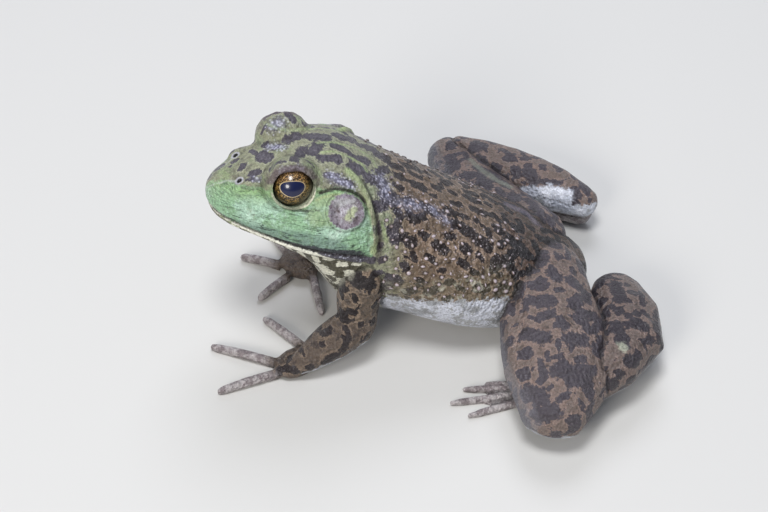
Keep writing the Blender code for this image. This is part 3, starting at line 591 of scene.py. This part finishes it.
# Where no blotch is placed, others are thrown: on the trunk, the far half of the head, the legs and
# the arms. Each row: where, the spacing, the half widths, the lengths, the run and the seed.
TAILWARDS, KNEEWARDS, DOWNWARDS = (0, 1, 0), (0.8, -0.3, 0), (0, 0.3, -1)
HEAD_SPREAD = 1.4
dorsal = (upward > -0.25) & (pale < 0.3) & (digit < 0.3) & (throat < 0.2) & (green < 0.2)
placed = HEAD_BLOTCHES + BACK_BLOTCHES + LIMB_BLOTCHES
laid = [(*row[:6], row[6] * HEAD_SPREAD) for row in HEAD_BLOTCHES] + BACK_BLOTCHES + LIMB_BLOTCHES
for where, spacing, widths, lengths, along, seed in [
        ((trunk > 0.5) & (back > 50), 5.0, (1.2, 2.3), (0.5, 4.5), TAILWARDS, 11),
        ((head > 0.5) & (left < -2), 4.6, (0.9, 1.6), (0.5, 4), TAILWARDS, 12),
        (leg > 0.6, 5.8, (1.3, 2.9), (0.5, 5), KNEEWARDS, 13),
        (arm > 0.6, 4.6, (1.0, 1.8), (0.5, 3), KNEEWARDS, 14)]:
    laid += scattered(dorsal & where, spacing, widths, lengths, along, placed, seed)
cream = strokes(points, CREAM_PATCHES + scattered((throat > 0.5) & (back > 5), 4.4, (0.9, 1.9), (0.3, 3.5),
                                                  DOWNWARDS, CREAM_PATCHES, 15))

# Fine lines: painted shade along the creases, pale along the ridges and folds, and from each nostril to the
# lip.
crease_shade, pale_line, snout_line = np.zeros((3, len(points)))
for line, width, strength in [(EAR_CREASE, 0.65, 1.0), (NECK_GROOVE, 1.15, 0.68), (LID_CREASE, 0.6, 0.5),
                              (CHEEK_CREASE, 0.35, 0.5)]:
    for sided in (line, other_side(line)):
        gap, along = line_distance(points, sided)
        if line is NECK_GROOVE:
            gap, strength_here = gap / (0.7 + 0.7 * along), strength * blend(0.1, 0.55, along)
        else:
            strength_here = strength * blend(0, 0.08, along)
        crease_shade = np.maximum(crease_shade, strength_here * bell(gap, width))
for line, width, strength in [(line, 0.7, 0.9) for line in PALE_LINES] + [
        (NECK_RIDGE, 1.35, 1.1), (other_side(NECK_RIDGE), 1.35, 1.1),
        (EYE_LINE, 0.9, 0.55), (other_side(EYE_LINE), 0.9, 0.55)]:
    pale_line = np.maximum(pale_line, strength * bell(line_distance(points, line)[0], width))
for sided in (SNOUT_LINE, other_side(SNOUT_LINE)):
    snout_line = np.maximum(snout_line, bell(line_distance(points, sided)[0], 0.55))

# A duller band lies above the lip. The rim of each lid is pale below the eye and dark above it.
lip_top = profile([(4, 3.5), (12, 4.8), (20, 6.5), (30, 9.0), (40, 8.5), (46, 6)], back)
lip_zone = blend(0, -4.5, above - lip_top) * blend(0, 0.4, above) * blend(2, 8, back) * blend(49, 42, back)
lid_edge = np.full(len(points), 9.0)
lid_below, lid_above = np.zeros((2, len(points)))
near_eye = from_pair(points, EYE) < 11
for side in (-1, 1):
    across, rise, out, opening = round_eye(points, side)
    beyond = np.where((out > 1) & near_eye, np.hypot(across, rise) - opening, 9)
    nearer = beyond < lid_edge
    lid_edge[nearer] = beyond[nearer]
    lid_below[nearer] = (blend(1.0, -1.5, rise) * blend(9, 7, beyond + opening)
                         * (0.62 + 0.38 * blend(0, 4, across)))[nearer]
    lid_above[nearer] = (blend(1.0, 2.5, rise) * blend(4.0, 0.8, beyond))[nearer]

# The digits grow paler towards their tips, painted shade darkens the hollows, and the tubercles
# stand on the upper sides of the trunk.
DIGIT_SOFTENING = 24
soft_digit = digit[:, None]
for _ in range(DIGIT_SOFTENING):
    soft_digit = neighbours_mean(soft_digit, ends)
soft_digit = soft_digit[:, 0]
for side_name in ("left", "right"):
    palm_low, palm_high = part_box("palm_" + side_name)
    palm = (np.array((palm_low + palm_high) / 2) - ORIGIN) / MM
    near_palm = (finger > 0.02) & (np.sign(left) == np.sign(palm[0]))
    from_palm = np.linalg.norm(points[:, :2] - palm[:2], axis=1)
    soft_digit = np.where(near_palm, soft_digit * blend(3.5, 15, from_palm), soft_digit)
# How far each point lies in a hollow, for the painted shade there.
hollow = ((neighbours_mean(points, ends) - points) * normals).sum(1)
hollow = neighbours_mean(hollow[:, None], ends)[:, 0]
warts = trunk * blend(52, 60, back) * blend(112, 98, back) * blend(24, 32, height) * (pale < 0.3)
warts *= blend(6, 14, sides) * 0.75 + 0.25

# Every field is kept on the skin under its name, for the paint.
fields = {
    "blotch": strokes(points, laid), "reticulate": reticulate, "head": head * blend(62, 48, back),
    "back": blend(51, 70, back), "rump": blend(88, 108, back), "leg": leg, "arm": whole_arm,
    "forearm": forearm, "digit": soft_digit, "near shank": np.clip(leg - thigh, 0, 1) * (left > 0),
    "shin edge": shin_edge, "pale": pale, "fringe": fringe, "throat": throat, "cream": cream,
    "green": green, "face depth": under_edge / 8 + 0.15 * blend(14, 5, back), "lip": lip,
    "lip shade": lip_shade, "lip zone": lip_zone, "jaw corner": jaw_corner, "dark line": crease_shade,
    "pale line": pale_line, "snout line": snout_line, "nostril": from_pair(points, NOSTRIL),
    "lid edge": lid_edge, "lid below": lid_below, "lid above": lid_above, "hollow": hollow, "warts": warts,
    "drum": np.minimum(ear_distance(points, 1), ear_distance(points, -1))}
for name in {**PATCHES, **PAIRED_PATCHES}:
    paired = PAIRED_PATCHES.get(name, [])
    fields[name] = strokes(points, PATCHES.get(name, []) + paired + other_side(paired))
fields["sheen"] = np.clip(fields["sheen"], 0, 1)


def mark(mesh, name, values):
    """Keeps a number at each point of a mesh, for its paint."""
    mesh.attributes.new(name, "FLOAT", "POINT").data.foreach_set("value", np.array(values, np.float32))


for name, values in fields.items():
    mark(skin.data, name, values)


def paint(code):
    """An sRGB colour such as "8aa07c", as linear light."""
    parts = [int(code[i:i + 2], 16) / 255 for i in (0, 2, 4)]
    return (*(c / 12.92 if c <= 0.04045 else ((c + 0.055) / 1.055) ** 2.4 for c in parts), 1)


def add(tree, kind, inputs=None, out=0, **settings):
    """Adds a node with its settings, its numbers and its links, and gives one of its outputs."""
    node = tree.nodes.new(kind)
    for name, value in settings.items():
        setattr(node, name, value)
    for socket, value in (inputs or {}).items():
        if isinstance(value, bpy.types.NodeSocket):
            tree.links.new(value, node.inputs[socket])
        else:
            node.inputs[socket].default_value = value
    return node.outputs[out] if node.outputs else None


def lay_coats(tree, field, colour, coats):
    """Lays coats of paint over a colour. Each goes where all its places let it, at its strength: a
    place is a field, its share of the ragged edge, and the levels between which the coat comes in."""
    for places, strength, coat in coats:
        mask = strength
        for name, share, low, high in places:
            level = add(tree, "ShaderNodeMath", {0: field["ragged edge"], 1: share, 2: field[name]},
                        operation="MULTIPLY_ADD")
            mask = add(tree, "ShaderNodeMapRange", {"Value": level, "From Min": low, "From Max": high,
                                                    "To Max": mask}, interpolation_type="SMOOTHSTEP")
        coat = paint(coat) if isinstance(coat, str) else coat
        colour = add(tree, "ShaderNodeMix", {0: mask, 6: colour, 7: coat}, 2, data_type="RGBA")
    return colour


def new_material(name):
    """A material with nothing in it yet, and its node tree."""
    material = bpy.data.materials.new(name)
    material.use_nodes = True
    material.node_tree.nodes.clear()
    return material, material.node_tree


# Moist amphibian skin, painted and varnished: granules of about 1 mm and fine creases under a
# thin wet coat, which catches soft light. The edges of the markings are ragged by 1 mm and 3 mm.
wet_skin, tree = new_material("moist_skin")
spot_of = add(tree, "ShaderNodeTexCoord", out="Object")
field = {name: add(tree, "ShaderNodeAttribute", out="Fac", attribute_name=name) for name in fields}
lip_space = add(tree, "ShaderNodeMapping", {"Vector": spot_of, "Rotation": (0.19, 0, 0),
                                            "Scale": (45, 45, 430)})
for name, where, scale, detail, rough in [("clouds", spot_of, 95, 3, 0.5), ("ragged", spot_of, 330, 4, 0.62),
                                          ("burr", spot_of, 900, 3, 0.6), ("grain", spot_of, 1500, 2, 0.7),
                                          ("lip grain", lip_space, 1, 3, 0.65)]:
    field[name] = add(tree, "ShaderNodeTexNoise", {"Vector": where, "Scale": scale, "Detail": detail,
                                                   "Roughness": rough}, "Fac")
raggedness = add(tree, "ShaderNodeMath", {0: field["ragged"], 1: 1.1, 2: -1.2}, operation="MULTIPLY_ADD")
field["ragged edge"] = add(tree, "ShaderNodeMath", {0: field["burr"], 1: 1.3, 2: raggedness},
                           operation="MULTIPLY_ADD")

# On the rump and legs the blotches crowd together, and the pale ground is left as a net of 1-2 mm
# lines between cells of about 7 mm. One cell in four stays pale.
CELLS = 150
BEND = (0.007, 0.007, 0.007)
bend = add(tree, "ShaderNodeTexNoise", {"Vector": spot_of, "Scale": 110, "Detail": 3}, "Color")
bent = add(tree, "ShaderNodeVectorMath", {0: bend, 1: BEND, 2: spot_of}, operation="MULTIPLY_ADD")
cell_edge = add(tree, "ShaderNodeTexVoronoi", {"Vector": bent, "Scale": CELLS}, "Distance",
                feature="DISTANCE_TO_EDGE")
cell_pick = add(tree, "ShaderNodeTexVoronoi", {"Vector": bent, "Scale": CELLS}, "Color", feature="F1")
cell = add(tree, "ShaderNodeMapRange", {"Value": cell_edge, "From Min": 0.02, "From Max": 0.24,
                                        "To Min": -3.0, "To Max": -1.5}, clamp=False)
cell = add(tree, "ShaderNodeMath", {0: field["reticulate"], 1: 2.0, 2: cell}, operation="MULTIPLY_ADD")
skipped = add(tree, "ShaderNodeMapRange", {"Value": cell_pick, "From Min": 0.34, "From Max": 0.38,
                                           "To Min": -0.9, "To Max": 0})
cell = add(tree, "ShaderNodeMath", {0: cell, 1: skipped}, operation="ADD")
field["blotch"] = add(tree, "ShaderNodeMath", {0: field["blotch"], 1: cell}, operation="MAXIMUM")
smudge = add(tree, "ShaderNodeMath", {0: field["clouds"], 1: 3.0, 2: -1.5}, operation="MULTIPLY_ADD")
field["blotch"] = add(tree, "ShaderNodeMath", {0: smudge, 1: field["head"], 2: field["blotch"]},
                      operation="MULTIPLY_ADD")
field["granule"] = add(tree, "ShaderNodeTexVoronoi", {"Vector": spot_of, "Scale": 1000}, "Distance",
                       feature="F1")
field["lip line"] = add(tree, "ShaderNodeMath", {0: field["lip grain"], 1: 0.5, 2: 0.02},
                        operation="COMPARE")

# Each row: on the head, back, leg, rump and arm.
PALETTES = {"ground": ("8c8d74", "6b5a4a", "6f615a", "44382f", "645649"),
            "net": ("9a9b83", "907b6a", "867269", "665247", "8a7866"),
            "blotch": ("4c474f", "261d1d", "464046", "130e11", "1e1718")}
layered = {}
for kind, (on_head, on_back, on_leg, on_rump, on_arm) in PALETTES.items():
    layered[kind] = lay_coats(tree, field, paint(on_head), [
        ([("back", 0.3, 0.1, 0.9)], 1, on_back), ([("rump", 0.3, 0.1, 0.9)], 1, on_rump),
        ([("leg", 0.3, 0.1, 0.9)], 1, on_leg), ([("arm", 0.3, 0.1, 0.9)], 1, on_arm)])
FACE = ("green", 0.75, 0.3, 0.75)
BELLY = ("pale", 0.9, 0.32, 0.68)
DRUM = ("drum", 0.34, 1.02, 0.86)
colour = lay_coats(tree, field, layered["ground"], [
    ([("head", 0, 0.3, 0.8), ("clouds", 0.1, 0.50, 0.64)], 0.5, "8aa070"),
    ([("head", 0, 0.3, 0.8), ("ragged", 0, 0.50, 0.58)], 0.6, "5f5b50"),
    ([("nape", 0.8, -0.1, 0.6)], 0.75, "8f987c"),
    ([("blotch", 1, -0.6, -0.12), ("blotch", 1, 0.1, -0.1)], 0.95, layered["net"]),
    ([("blotch", 1.1, -0.12, 0.16)], 1, layered["blotch"]),
    ([("blotch", 0.8, 0.5, 1.0), ("head", 0, 0.3, 0.8)], 0.35, "6d6870"),
    ([("arm", 0, 0.3, 0.8), ("ragged", 0, 0.53, 0.60)], 0.6, "2c2626"),
    ([("fringe", 0.4, 0.0, 0.7)], 0.35, "6b654e"),
    ([("fringe", 0.2, 0.25, 0.8), ("ragged", 0, 0.55, 0.62)], 0.6, "aeab99"),
    ([("forearm", 0, 0, 1)], 0.32, "3c3334"),
    ([("near shank", 0, 0.2, 0.9)], 0.15, "3b3236"),
    ([("near shank", 0, 0.2, 0.9), ("blotch", 1.1, -0.12, 0.16)], 0.6, "282228"),
    ([("shin edge", 0, 0, 1)], 0.5, "7d7d84"),
    ([("thigh light", 0.9, -0.2, 0.5)], 0.65, "85887a"),
    # Painted sheen on the rump: a smooth pale reflection of the sky.
    ([("rump light", 0.7, -0.1, 0.8)], 0.5, "7d7788"),
    # Painted sheen: sky reflections on the wet head and back, a glint on each granule, darker between.
    ([("sheen", 0.4, 0.1, 0.9)], 0.42, "9593a6"),
    ([("sheen", 0.2, 0.45, 1.0)], 0.45, "aeb0ca"),
    ([("sheen", 0.3, 0, 0.5), ("granule", 0.1, 0.46, 0.62)], 0.55, "352e38"),
    ([("sheen", 0.3, 0, 0.5), ("granule", 0.1, 0.40, 0.22)], 0.62, "cac9da"),
    ([("warts", 0.3, 0.1, 0.7), ("granule", 0.2, 0.30, 0.16)], 0.5, "a79d9f"),
    ([BELLY], 1, "d2d5e0"),
    ([BELLY, ("ragged", 0, 0.50, 0.58)], 0.6, "86857d"),
    ([BELLY, ("clouds", 0.15, 0.46, 0.58), ("back", 0, 0.3, 1.0)], 0.6, "86888a"),
    # The far leg's pale inner side, with painted glare: bright wet highlights in white streaks.
    ([("inner white", 0.9, -0.2, 0.4)], 0.95, "c4c8d4"),
    ([("inner white", 0.6, 0.1, 0.6), ("clouds", 0.15, 0.40, 0.54)], 0.95, "f4f6ff"),
    ([("fold spot", 1.2, -0.2, 0.5)], 0.9, "a2a492"),
    ([("throat", 0, 0, 1)], 1, "504d3d"),
    ([("cream", 1.3, -0.1, 0.15), ("throat", 0, 0, 1)], 1, "dcdac8"),
    ([FACE], 1, "a8c8b1"),
    ([FACE, ("clouds", 0.25, 0.46, 0.60)], 0.75, "88b084"),
    # Pale patches on the face: painted wet highlights.
    ([FACE, ("clouds", 0.15, 0.44, 0.30)], 0.6, "c8dccd"),
    ([FACE, ("face depth", 0.25, 1.0, 0.15)], 0.7, "9bb888"),
    ([FACE, ("face depth", 0.35, 0.45, 0.1)], 0.55, "86aa68"),
    ([FACE, ("green", 0.8, 1.1, 0.7), ("ragged", 0, 0.48, 0.56)], 0.7, "70775c"),
    ([FACE, ("temple", 0.5, 0.0, 0.7)], 0.75, "92a67c"),
    ([FACE, ("lip zone", 0.2, 0.1, 1.0)], 0.85, "708a7d"),
    ([FACE, ("ragged", 0, 0.53, 0.62)], 0.5, "71906c"),
    ([FACE, ("lip line", 0, 0, 1), ("clouds", 0.2, 0.38, 0.5), ("lip zone", 0, -0.3, 0.25)], 0.85,
     "34463b"),
    ([("pale line", 0.1, 0.1, 0.9)], 0.9, "9aa87a"),
    ([("snout line", 0.2, 0.25, 0.9)], 0.75, "b3b9ae"),
    ([DRUM], 1, "a098a0"),
    ([DRUM, ("ragged", 0, 0.45, 0.55)], 0.9, "544849"),
    ([DRUM, ("burr", 0, 0.50, 0.60)], 0.75, "c3c0c9"),
    ([DRUM, ("drum", 0.45, 0.55, 0.85)], 0.6, "6f6370"),
    ([DRUM, ("drum top", 0.7, 0.1, 0.9)], 0.75, "b4b3b4"),
    ([DRUM, ("drum light", 0.9, 0.1, 0.7)], 0.85, "adb68c"),
    ([("digit", 0.5, 0.25, 0.95)], 0.9, "b3acac"),
    ([("digit", 0.5, 0.25, 0.95), ("ragged", 0, 0.45, 0.56)], 0.8, "74686a"),
    # Painted shade along the creases over the eardrum, neck, lids and cheeks.
    ([("dark line", 0.35, 0.05, 1)], 0.95, "382e2e"),
    ([("nostril", 0.1, 1.9, 1.4)], 0.9, "b5b4ba"),
    # The nostril's opening: painted shade, black in a shallow pit.
    ([("nostril", 0, 1.15, 0.85)], 1, "0a0a0c"),
    ([("lip", 0.35, 0.2, 0.7)], 1, "dedccd"),
    # Painted shadow under the upper lip, over darker skin.
    ([("lip shade", 0.9, 0.25, 0.75)], 0.92, "303038"),
    ([("jaw corner", 0.5, 0.3, 0.7)], 0.95, "45424c"),
    ([("jaw corner", 0, 0.4, 0.9), ("granule", 0.2, 0.40, 0.22)], 0.7, "a3a3b0"),
    ([("lid above", 0.5, 0.2, 0.9)], 0.8, "5d4e52"),
    ([("lid below", 0, 0, 1), ("lid edge", 0.3, 2.4, 1.0)], 0.7, "86a173"),
    # Painted shade in the hollows and creases of the skin.
    ([("hollow", 0, 0.0, 0.035)], 0.6, "1d1716"),
    ([("lid below", 0, 0.3, 0.9), ("lid edge", 0, 0.85, 0.55), ("lid edge", 0, -0.15, 0.1)], 0.9,
     "e4e1c9"),
])
shade = add(tree, "ShaderNodeMath", {0: field["grain"], 1: 1.25, 2: 0.375}, operation="MULTIPLY_ADD")
colour = add(tree, "ShaderNodeMix", {0: 1.0, 6: colour, 7: shade}, 2, data_type="RGBA",
             blend_type="MULTIPLY")
granules, warty = (add(tree, "ShaderNodeTexVoronoi", {"Vector": spot_of, "Scale": scale}, "Distance",
                       feature="SMOOTH_F1") for scale in (900, 430))
warty = add(tree, "ShaderNodeMath", {0: warty, 1: field["warts"]}, operation="MULTIPLY")
relief = field["grain"]
for height, depth in ((granules, -1.5), (warty, -4.0), (field["burr"], 1.4)):
    relief = add(tree, "ShaderNodeMath", {0: height, 1: depth, 2: relief}, operation="MULTIPLY_ADD")
moist = add(tree, "ShaderNodeMath", {0: field["sheen"], 1: -0.12, 2: 0.55}, operation="MULTIPLY_ADD")
bump = add(tree, "ShaderNodeBump", {"Height": relief, "Strength": 0.9, "Distance": 0.0006})
wetness = add(tree, "ShaderNodeMapRange", {"Value": field["grain"], "From Min": 0.3, "From Max": 0.7,
                                           "To Min": moist, "To Max": 0.33})
surface = add(tree, "ShaderNodeBsdfPrincipled", {
    "Base Color": colour, "Roughness": wetness, "Normal": bump, "IOR": 1.38, "Specular IOR Level": 0.4,
    "Coat Weight": 0.6, "Coat Roughness": 0.12, "Coat IOR": 1.35, "Coat Normal": bump})
add(tree, "ShaderNodeOutputMaterial", {"Surface": surface})
skin.data.materials.clear()
skin.data.materials.append(wet_skin)

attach(skin, "root")
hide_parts(*FLESH)

# Tubercles. Small blunt granules that stand out of the skin of the shoulders, flanks and back,
# paler towards their tips, with a painted highlight on each crown. They are scattered over the
# finished skin by their density there, and sit a third of their height inside it.
WART_LEAST, WART_MOST = (0.35, 0.35, 0.25), (1.15, 1.05, 0.85)
WART_HEIGHT = 0.8
WART_GAP = 2.5
WART_DENSITY = 150000.0
WART_FOOT = -0.45
dot = bmesh.new()
bmesh.ops.create_icosphere(dot, subdivisions=2, radius=1)
bmesh.ops.delete(dot, geom=[vertex for vertex in dot.verts if vertex.co.z < WART_FOOT], context="VERTS")
for vertex in dot.verts:
    vertex.co.z *= WART_HEIGHT
wart_mesh = bpy.data.meshes.new("wart_shape")
dot.to_mesh(wart_mesh)
mark(wart_mesh, "tip", [max(vertex.co.z / WART_HEIGHT, 0) for vertex in wart_mesh.vertices])
dot.free()
wart_shape = bpy.data.objects.new("wart_shape", wart_mesh)

wart_skin, tree = new_material("moist_skin_tubercle")
spot_of = add(tree, "ShaderNodeTexCoord", out="Object")
crown = add(tree, "ShaderNodeAttribute", out="Fac", attribute_name="tip")
tone = add(tree, "ShaderNodeTexNoise", {"Vector": spot_of, "Scale": 260, "Detail": 1}, "Fac")
colour = lay_coats(tree, {"tone": tone, "crown": crown, "ragged edge": tone}, paint("352b28"), [
    ([("tone", 0, 0.38, 0.62)], 1, "615146"),
    ([("crown", 0.8, 0.75, 1.3)], 0.6, "85736c"),
    # The top of each crown: a painted highlight.
    ([("crown", 1.0, 1.1, 1.45)], 0.75, "c8bcc4")])
surface = add(tree, "ShaderNodeBsdfPrincipled", {"Base Color": colour, "Roughness": 0.3, "IOR": 1.38,
                                                 "Coat Weight": 0.9, "Coat Roughness": 0.12})
add(tree, "ShaderNodeOutputMaterial", {"Surface": surface})

scatter = bpy.data.node_groups.new("scatter_tubercles", "GeometryNodeTree")
interface = scatter.interface
for name, kind in [("Skin", "Geometry"), ("Shape", "Object"), ("Gap", "Float"), ("Density", "Float"),
                   ("Least", "Vector"), ("Most", "Vector"), ("Finish", "Material")]:
    interface.new_socket(name, in_out="INPUT", socket_type="NodeSocket" + kind)
interface.new_socket("Tubercles", in_out="OUTPUT", socket_type="NodeSocketGeometry")
given = add(scatter, "NodeGroupInput").node.outputs
where = add(scatter, "GeometryNodeInputNamedAttribute", {"Name": "warts"}, "Attribute", data_type="FLOAT")
spots = add(scatter, "GeometryNodeDistributePointsOnFaces",
            {"Mesh": given["Skin"], "Distance Min": given["Gap"], "Density Max": given["Density"],
             "Density Factor": where, "Seed": 4}, "Points", distribute_method="POISSON")
size = add(scatter, "FunctionNodeRandomValue", {0: given["Least"], 1: given["Most"], "Seed": 9},
           data_type="FLOAT_VECTOR")
shape = add(scatter, "GeometryNodeObjectInfo", {"Object": given["Shape"]}, "Geometry")
stood = add(scatter, "GeometryNodeInstanceOnPoints",
            {"Points": spots, "Instance": shape, "Rotation": spots.node.outputs["Rotation"], "Scale": size})
real = add(scatter, "GeometryNodeRealizeInstances", {"Geometry": stood})
done = add(scatter, "GeometryNodeSetMaterial", {"Geometry": real, "Material": given["Finish"]})
add(scatter, "NodeGroupOutput", {0: done})

warts = new_object("tubercles", skin.data.copy())
strew = warts.modifiers.new("scatter", "NODES")
strew.node_group = scatter
sizes = {"Shape": wart_shape, "Gap": WART_GAP * MM, "Density": WART_DENSITY,
         "Least": tuple(side * MM for side in WART_LEAST), "Most": tuple(side * MM for side in WART_MOST),
         "Finish": wart_skin}
for item in interface.items_tree:
    if item.item_type == "SOCKET" and item.in_out == "INPUT" and item.name in sizes:
        strew[item.identifier] = sizes[item.name]
settle(warts)
bpy.data.objects.remove(wart_shape)
warts.data.shade_smooth()
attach(warts, "root")

# Eyes. Two glassy balls, as a taxidermist sets them: a gold-brown iris flecked with black under
# a clear bulging front, and a level oval pupil, flat on top, in a thin pale ring.
IRIS_RADIUS = 6.6
IRIS_MIDDLE = (0.25, -0.2)
PUPIL_MIDDLE = (-0.1, 0.25)
PUPIL_HALF, PUPIL_RISE, PUPIL_DROP = 4.0, 2.15, 3.05
PUPIL_TILT = math.radians(-3)
EYE_LAYERS = ("pupil", "iris", "rise")
eye_glass, tree = new_material("painted_glass_eye")
spot_of = add(tree, "ShaderNodeTexCoord", out="Object")
field = {name: add(tree, "ShaderNodeAttribute", out="Fac", attribute_name=name) for name in EYE_LAYERS}
field["fleck"] = add(tree, "ShaderNodeTexVoronoi", {"Vector": spot_of, "Scale": 1500}, "Distance",
                     feature="DISTANCE_TO_EDGE")
field["mottle"] = add(tree, "ShaderNodeTexNoise", {"Vector": spot_of, "Scale": 1100, "Detail": 4,
                                                   "Roughness": 0.75}, "Fac")
field["ragged edge"] = field["mottle"]
colour = lay_coats(tree, field, paint("3f2c0e"), [
    ([("mottle", 0, 0.43, 0.55)], 1, "ab8a4c"),
    # The upper iris lighter: a painted reflection of the sky.
    ([("rise", 0, 0.4, 3.5)], 0.5, "b98f63"),
    ([("fleck", 0.25, 0.33, 0.2)], 0.95, "17100a"),
    ([("iris", 0.6, 1.0, 1.35)], 0.85, "2a1c10"),
    ([("iris", 0.1, 0.94, 1.02)], 1, "17100b"),
    ([("pupil", 0, 0.98, 1.0), ("pupil", 0, 1.08, 1.03)], 0.9, "cdb98f"),
    ([("pupil", 0, 1.0, 0.97)], 1, "06113a"),
    ([("iris", 0, 1.03, 1.06)], 1, "6f6a54")])
surface = add(tree, "ShaderNodeBsdfPrincipled", {"Base Color": colour, "Roughness": 0.3, "IOR": 1.4,
                                                 "Coat Weight": 0.9, "Coat Roughness": 0.02, "Coat IOR": 1.4})
add(tree, "ShaderNodeOutputMaterial", {"Surface": surface})

EYE_TURNS = 96
EYE_SLANTS = np.concatenate([np.linspace(0, 1.2, 70), np.linspace(1.25, math.pi, 26)])
EYE_EASE, CORNEA_RISE, CORNEA_WIDTH = 0.1, 0.5, 0.6
for side, node in ((-1, "eye_right"), (1, "eye_left")):
    outward, backward, upward = eye_axes(side)
    centre = place(*on_side(EYE, side))
    ball = bmesh.new()
    values = {kind: [] for kind in EYE_LAYERS}
    rings = []
    for slant in EYE_SLANTS:
        bulge = EYE_RADIUS - EYE_EASE + CORNEA_RISE * bell(slant, CORNEA_WIDTH)
        radius, depth = bulge * math.sin(slant), bulge * math.cos(slant)
        turns = 1 if slant in (EYE_SLANTS[0], EYE_SLANTS[-1]) else EYE_TURNS
        ring = []
        for k in range(turns):
            angle = math.tau * k / turns
            across, rise = radius * math.cos(angle), radius * math.sin(angle)
            ring.append(ball.verts.new(centre + (outward * depth + backward * across + upward * rise) * MM))
            x, y = across - PUPIL_MIDDLE[0], rise - PUPIL_MIDDLE[1]
            x, y = (x * math.cos(PUPIL_TILT) + y * math.sin(PUPIL_TILT),
                    y * math.cos(PUPIL_TILT) - x * math.sin(PUPIL_TILT))
            tall, power = (PUPIL_RISE, 2.5) if y > 0 else (PUPIL_DROP, 1.75)
            oval = (abs(x / PUPIL_HALF) ** power + abs(y / tall) ** power) ** (1 / power)
            values["pupil"].append(oval if depth > 0 else 3.0)
            off_middle = math.hypot(across - IRIS_MIDDLE[0], rise - IRIS_MIDDLE[1])
            values["iris"].append(off_middle / IRIS_RADIUS if depth > 0 else 2.0)
            values["rise"].append(y)
        rings.append(ring)
    for first, second in zip(rings[:-1], rings[1:]):
        for k in range(EYE_TURNS):
            j = (k + 1) % EYE_TURNS
            if len(first) == 1:
                ball.faces.new((first[0], second[k], second[j]))
            elif len(second) == 1:
                ball.faces.new((first[k], second[0], first[j]))
            else:
                ball.faces.new((first[k], second[k], second[j], first[j]))
    bmesh.ops.recalc_face_normals(ball, faces=ball.faces)
    eye_mesh = bpy.data.meshes.new("glass_" + node)
    ball.to_mesh(eye_mesh)
    ball.free()
    for kind in EYE_LAYERS:
        mark(eye_mesh, kind, values[kind])
    eye_mesh.shade_smooth()
    eye_mesh.materials.append(eye_glass)
    eyeball = new_object("glass_" + node, eye_mesh)
    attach(eyeball, "root")
    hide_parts(node)

# Stage: a plain pale floor under soft studio light.
floor_mesh = bpy.data.meshes.new("floor")
floor_mesh.from_pydata([(-4, -4, 0), (4, -4, 0), (4, 4, 0), (-4, 4, 0)], [], [(0, 1, 2, 3)])
floor = new_object("floor", floor_mesh)
matt_paper, tree = new_material("matt_paper")
surface = add(tree, "ShaderNodeBsdfPrincipled", {"Base Color": paint("cfcdc9"), "Roughness": 0.9})
add(tree, "ShaderNodeOutputMaterial", {"Surface": surface})
floor_mesh.materials.append(matt_paper)

AIM = (10, 75, 25)
DISTANCE, LENS = 640, 87.2
ELEVATION, AZIMUTH, ROLL = math.radians(41.8), math.radians(80.7), math.radians(-0.7)
SHIFT_RIGHT, SHIFT_UP = 16.3, -1.7
right = Vector((math.cos(AZIMUTH), math.sin(AZIMUTH), 0))
ahead = Vector((-math.sin(AZIMUTH), math.cos(AZIMUTH), 0))
up = ahead * math.sin(ELEVATION) + Vector((0, 0, math.cos(ELEVATION)))
into = ahead * math.cos(ELEVATION) - Vector((0, 0, math.sin(ELEVATION)))
stand = place(*AIM) + (-into * DISTANCE - right * SHIFT_RIGHT - up * SHIFT_UP) * MM
camera = new_object("camera", bpy.data.cameras.new("camera"))
camera.data.lens, camera.data.sensor_width = LENS, 36
camera.data.clip_start, camera.data.clip_end = 0.01, 50
turned_right = right * math.cos(ROLL) - up * math.sin(ROLL)
turned_up = right * math.sin(ROLL) + up * math.cos(ROLL)
camera.matrix_world = Matrix.Translation(stand) @ Matrix(
    (turned_right, turned_up, -into)).transposed().to_4x4()
bpy.context.scene.camera = camera

bpy.context.scene.view_settings.view_transform = "Standard"
world = bpy.data.worlds.new("studio")
world.use_nodes = True
world.node_tree.nodes["Background"].inputs[0].default_value = (0.80, 0.86, 1.0, 1)
world.node_tree.nodes["Background"].inputs[1].default_value = 0.28
bpy.context.scene.world = world
for name, where, size, power, tint in [("overhead", (0.25, -0.15, 1.3), 0.45, 11, (0.95, 0.97, 1.0)),
                                       ("behind", (-1.0, 0.25, 1.2), 0.8, 10, (0.86, 0.90, 1.0)),
                                       ("side", (1.2, -0.9, 0.8), 0.6, 15, (1.0, 0.97, 0.92))]:
    lamp = bpy.data.lights.new(name, "AREA")
    lamp.shape, lamp.size, lamp.energy, lamp.color = "DISK", size, power, tint
    light = new_object(name, lamp)
    light.location = where
    light.rotation_euler = (-Vector(where)).to_track_quat("-Z", "Y").to_euler()
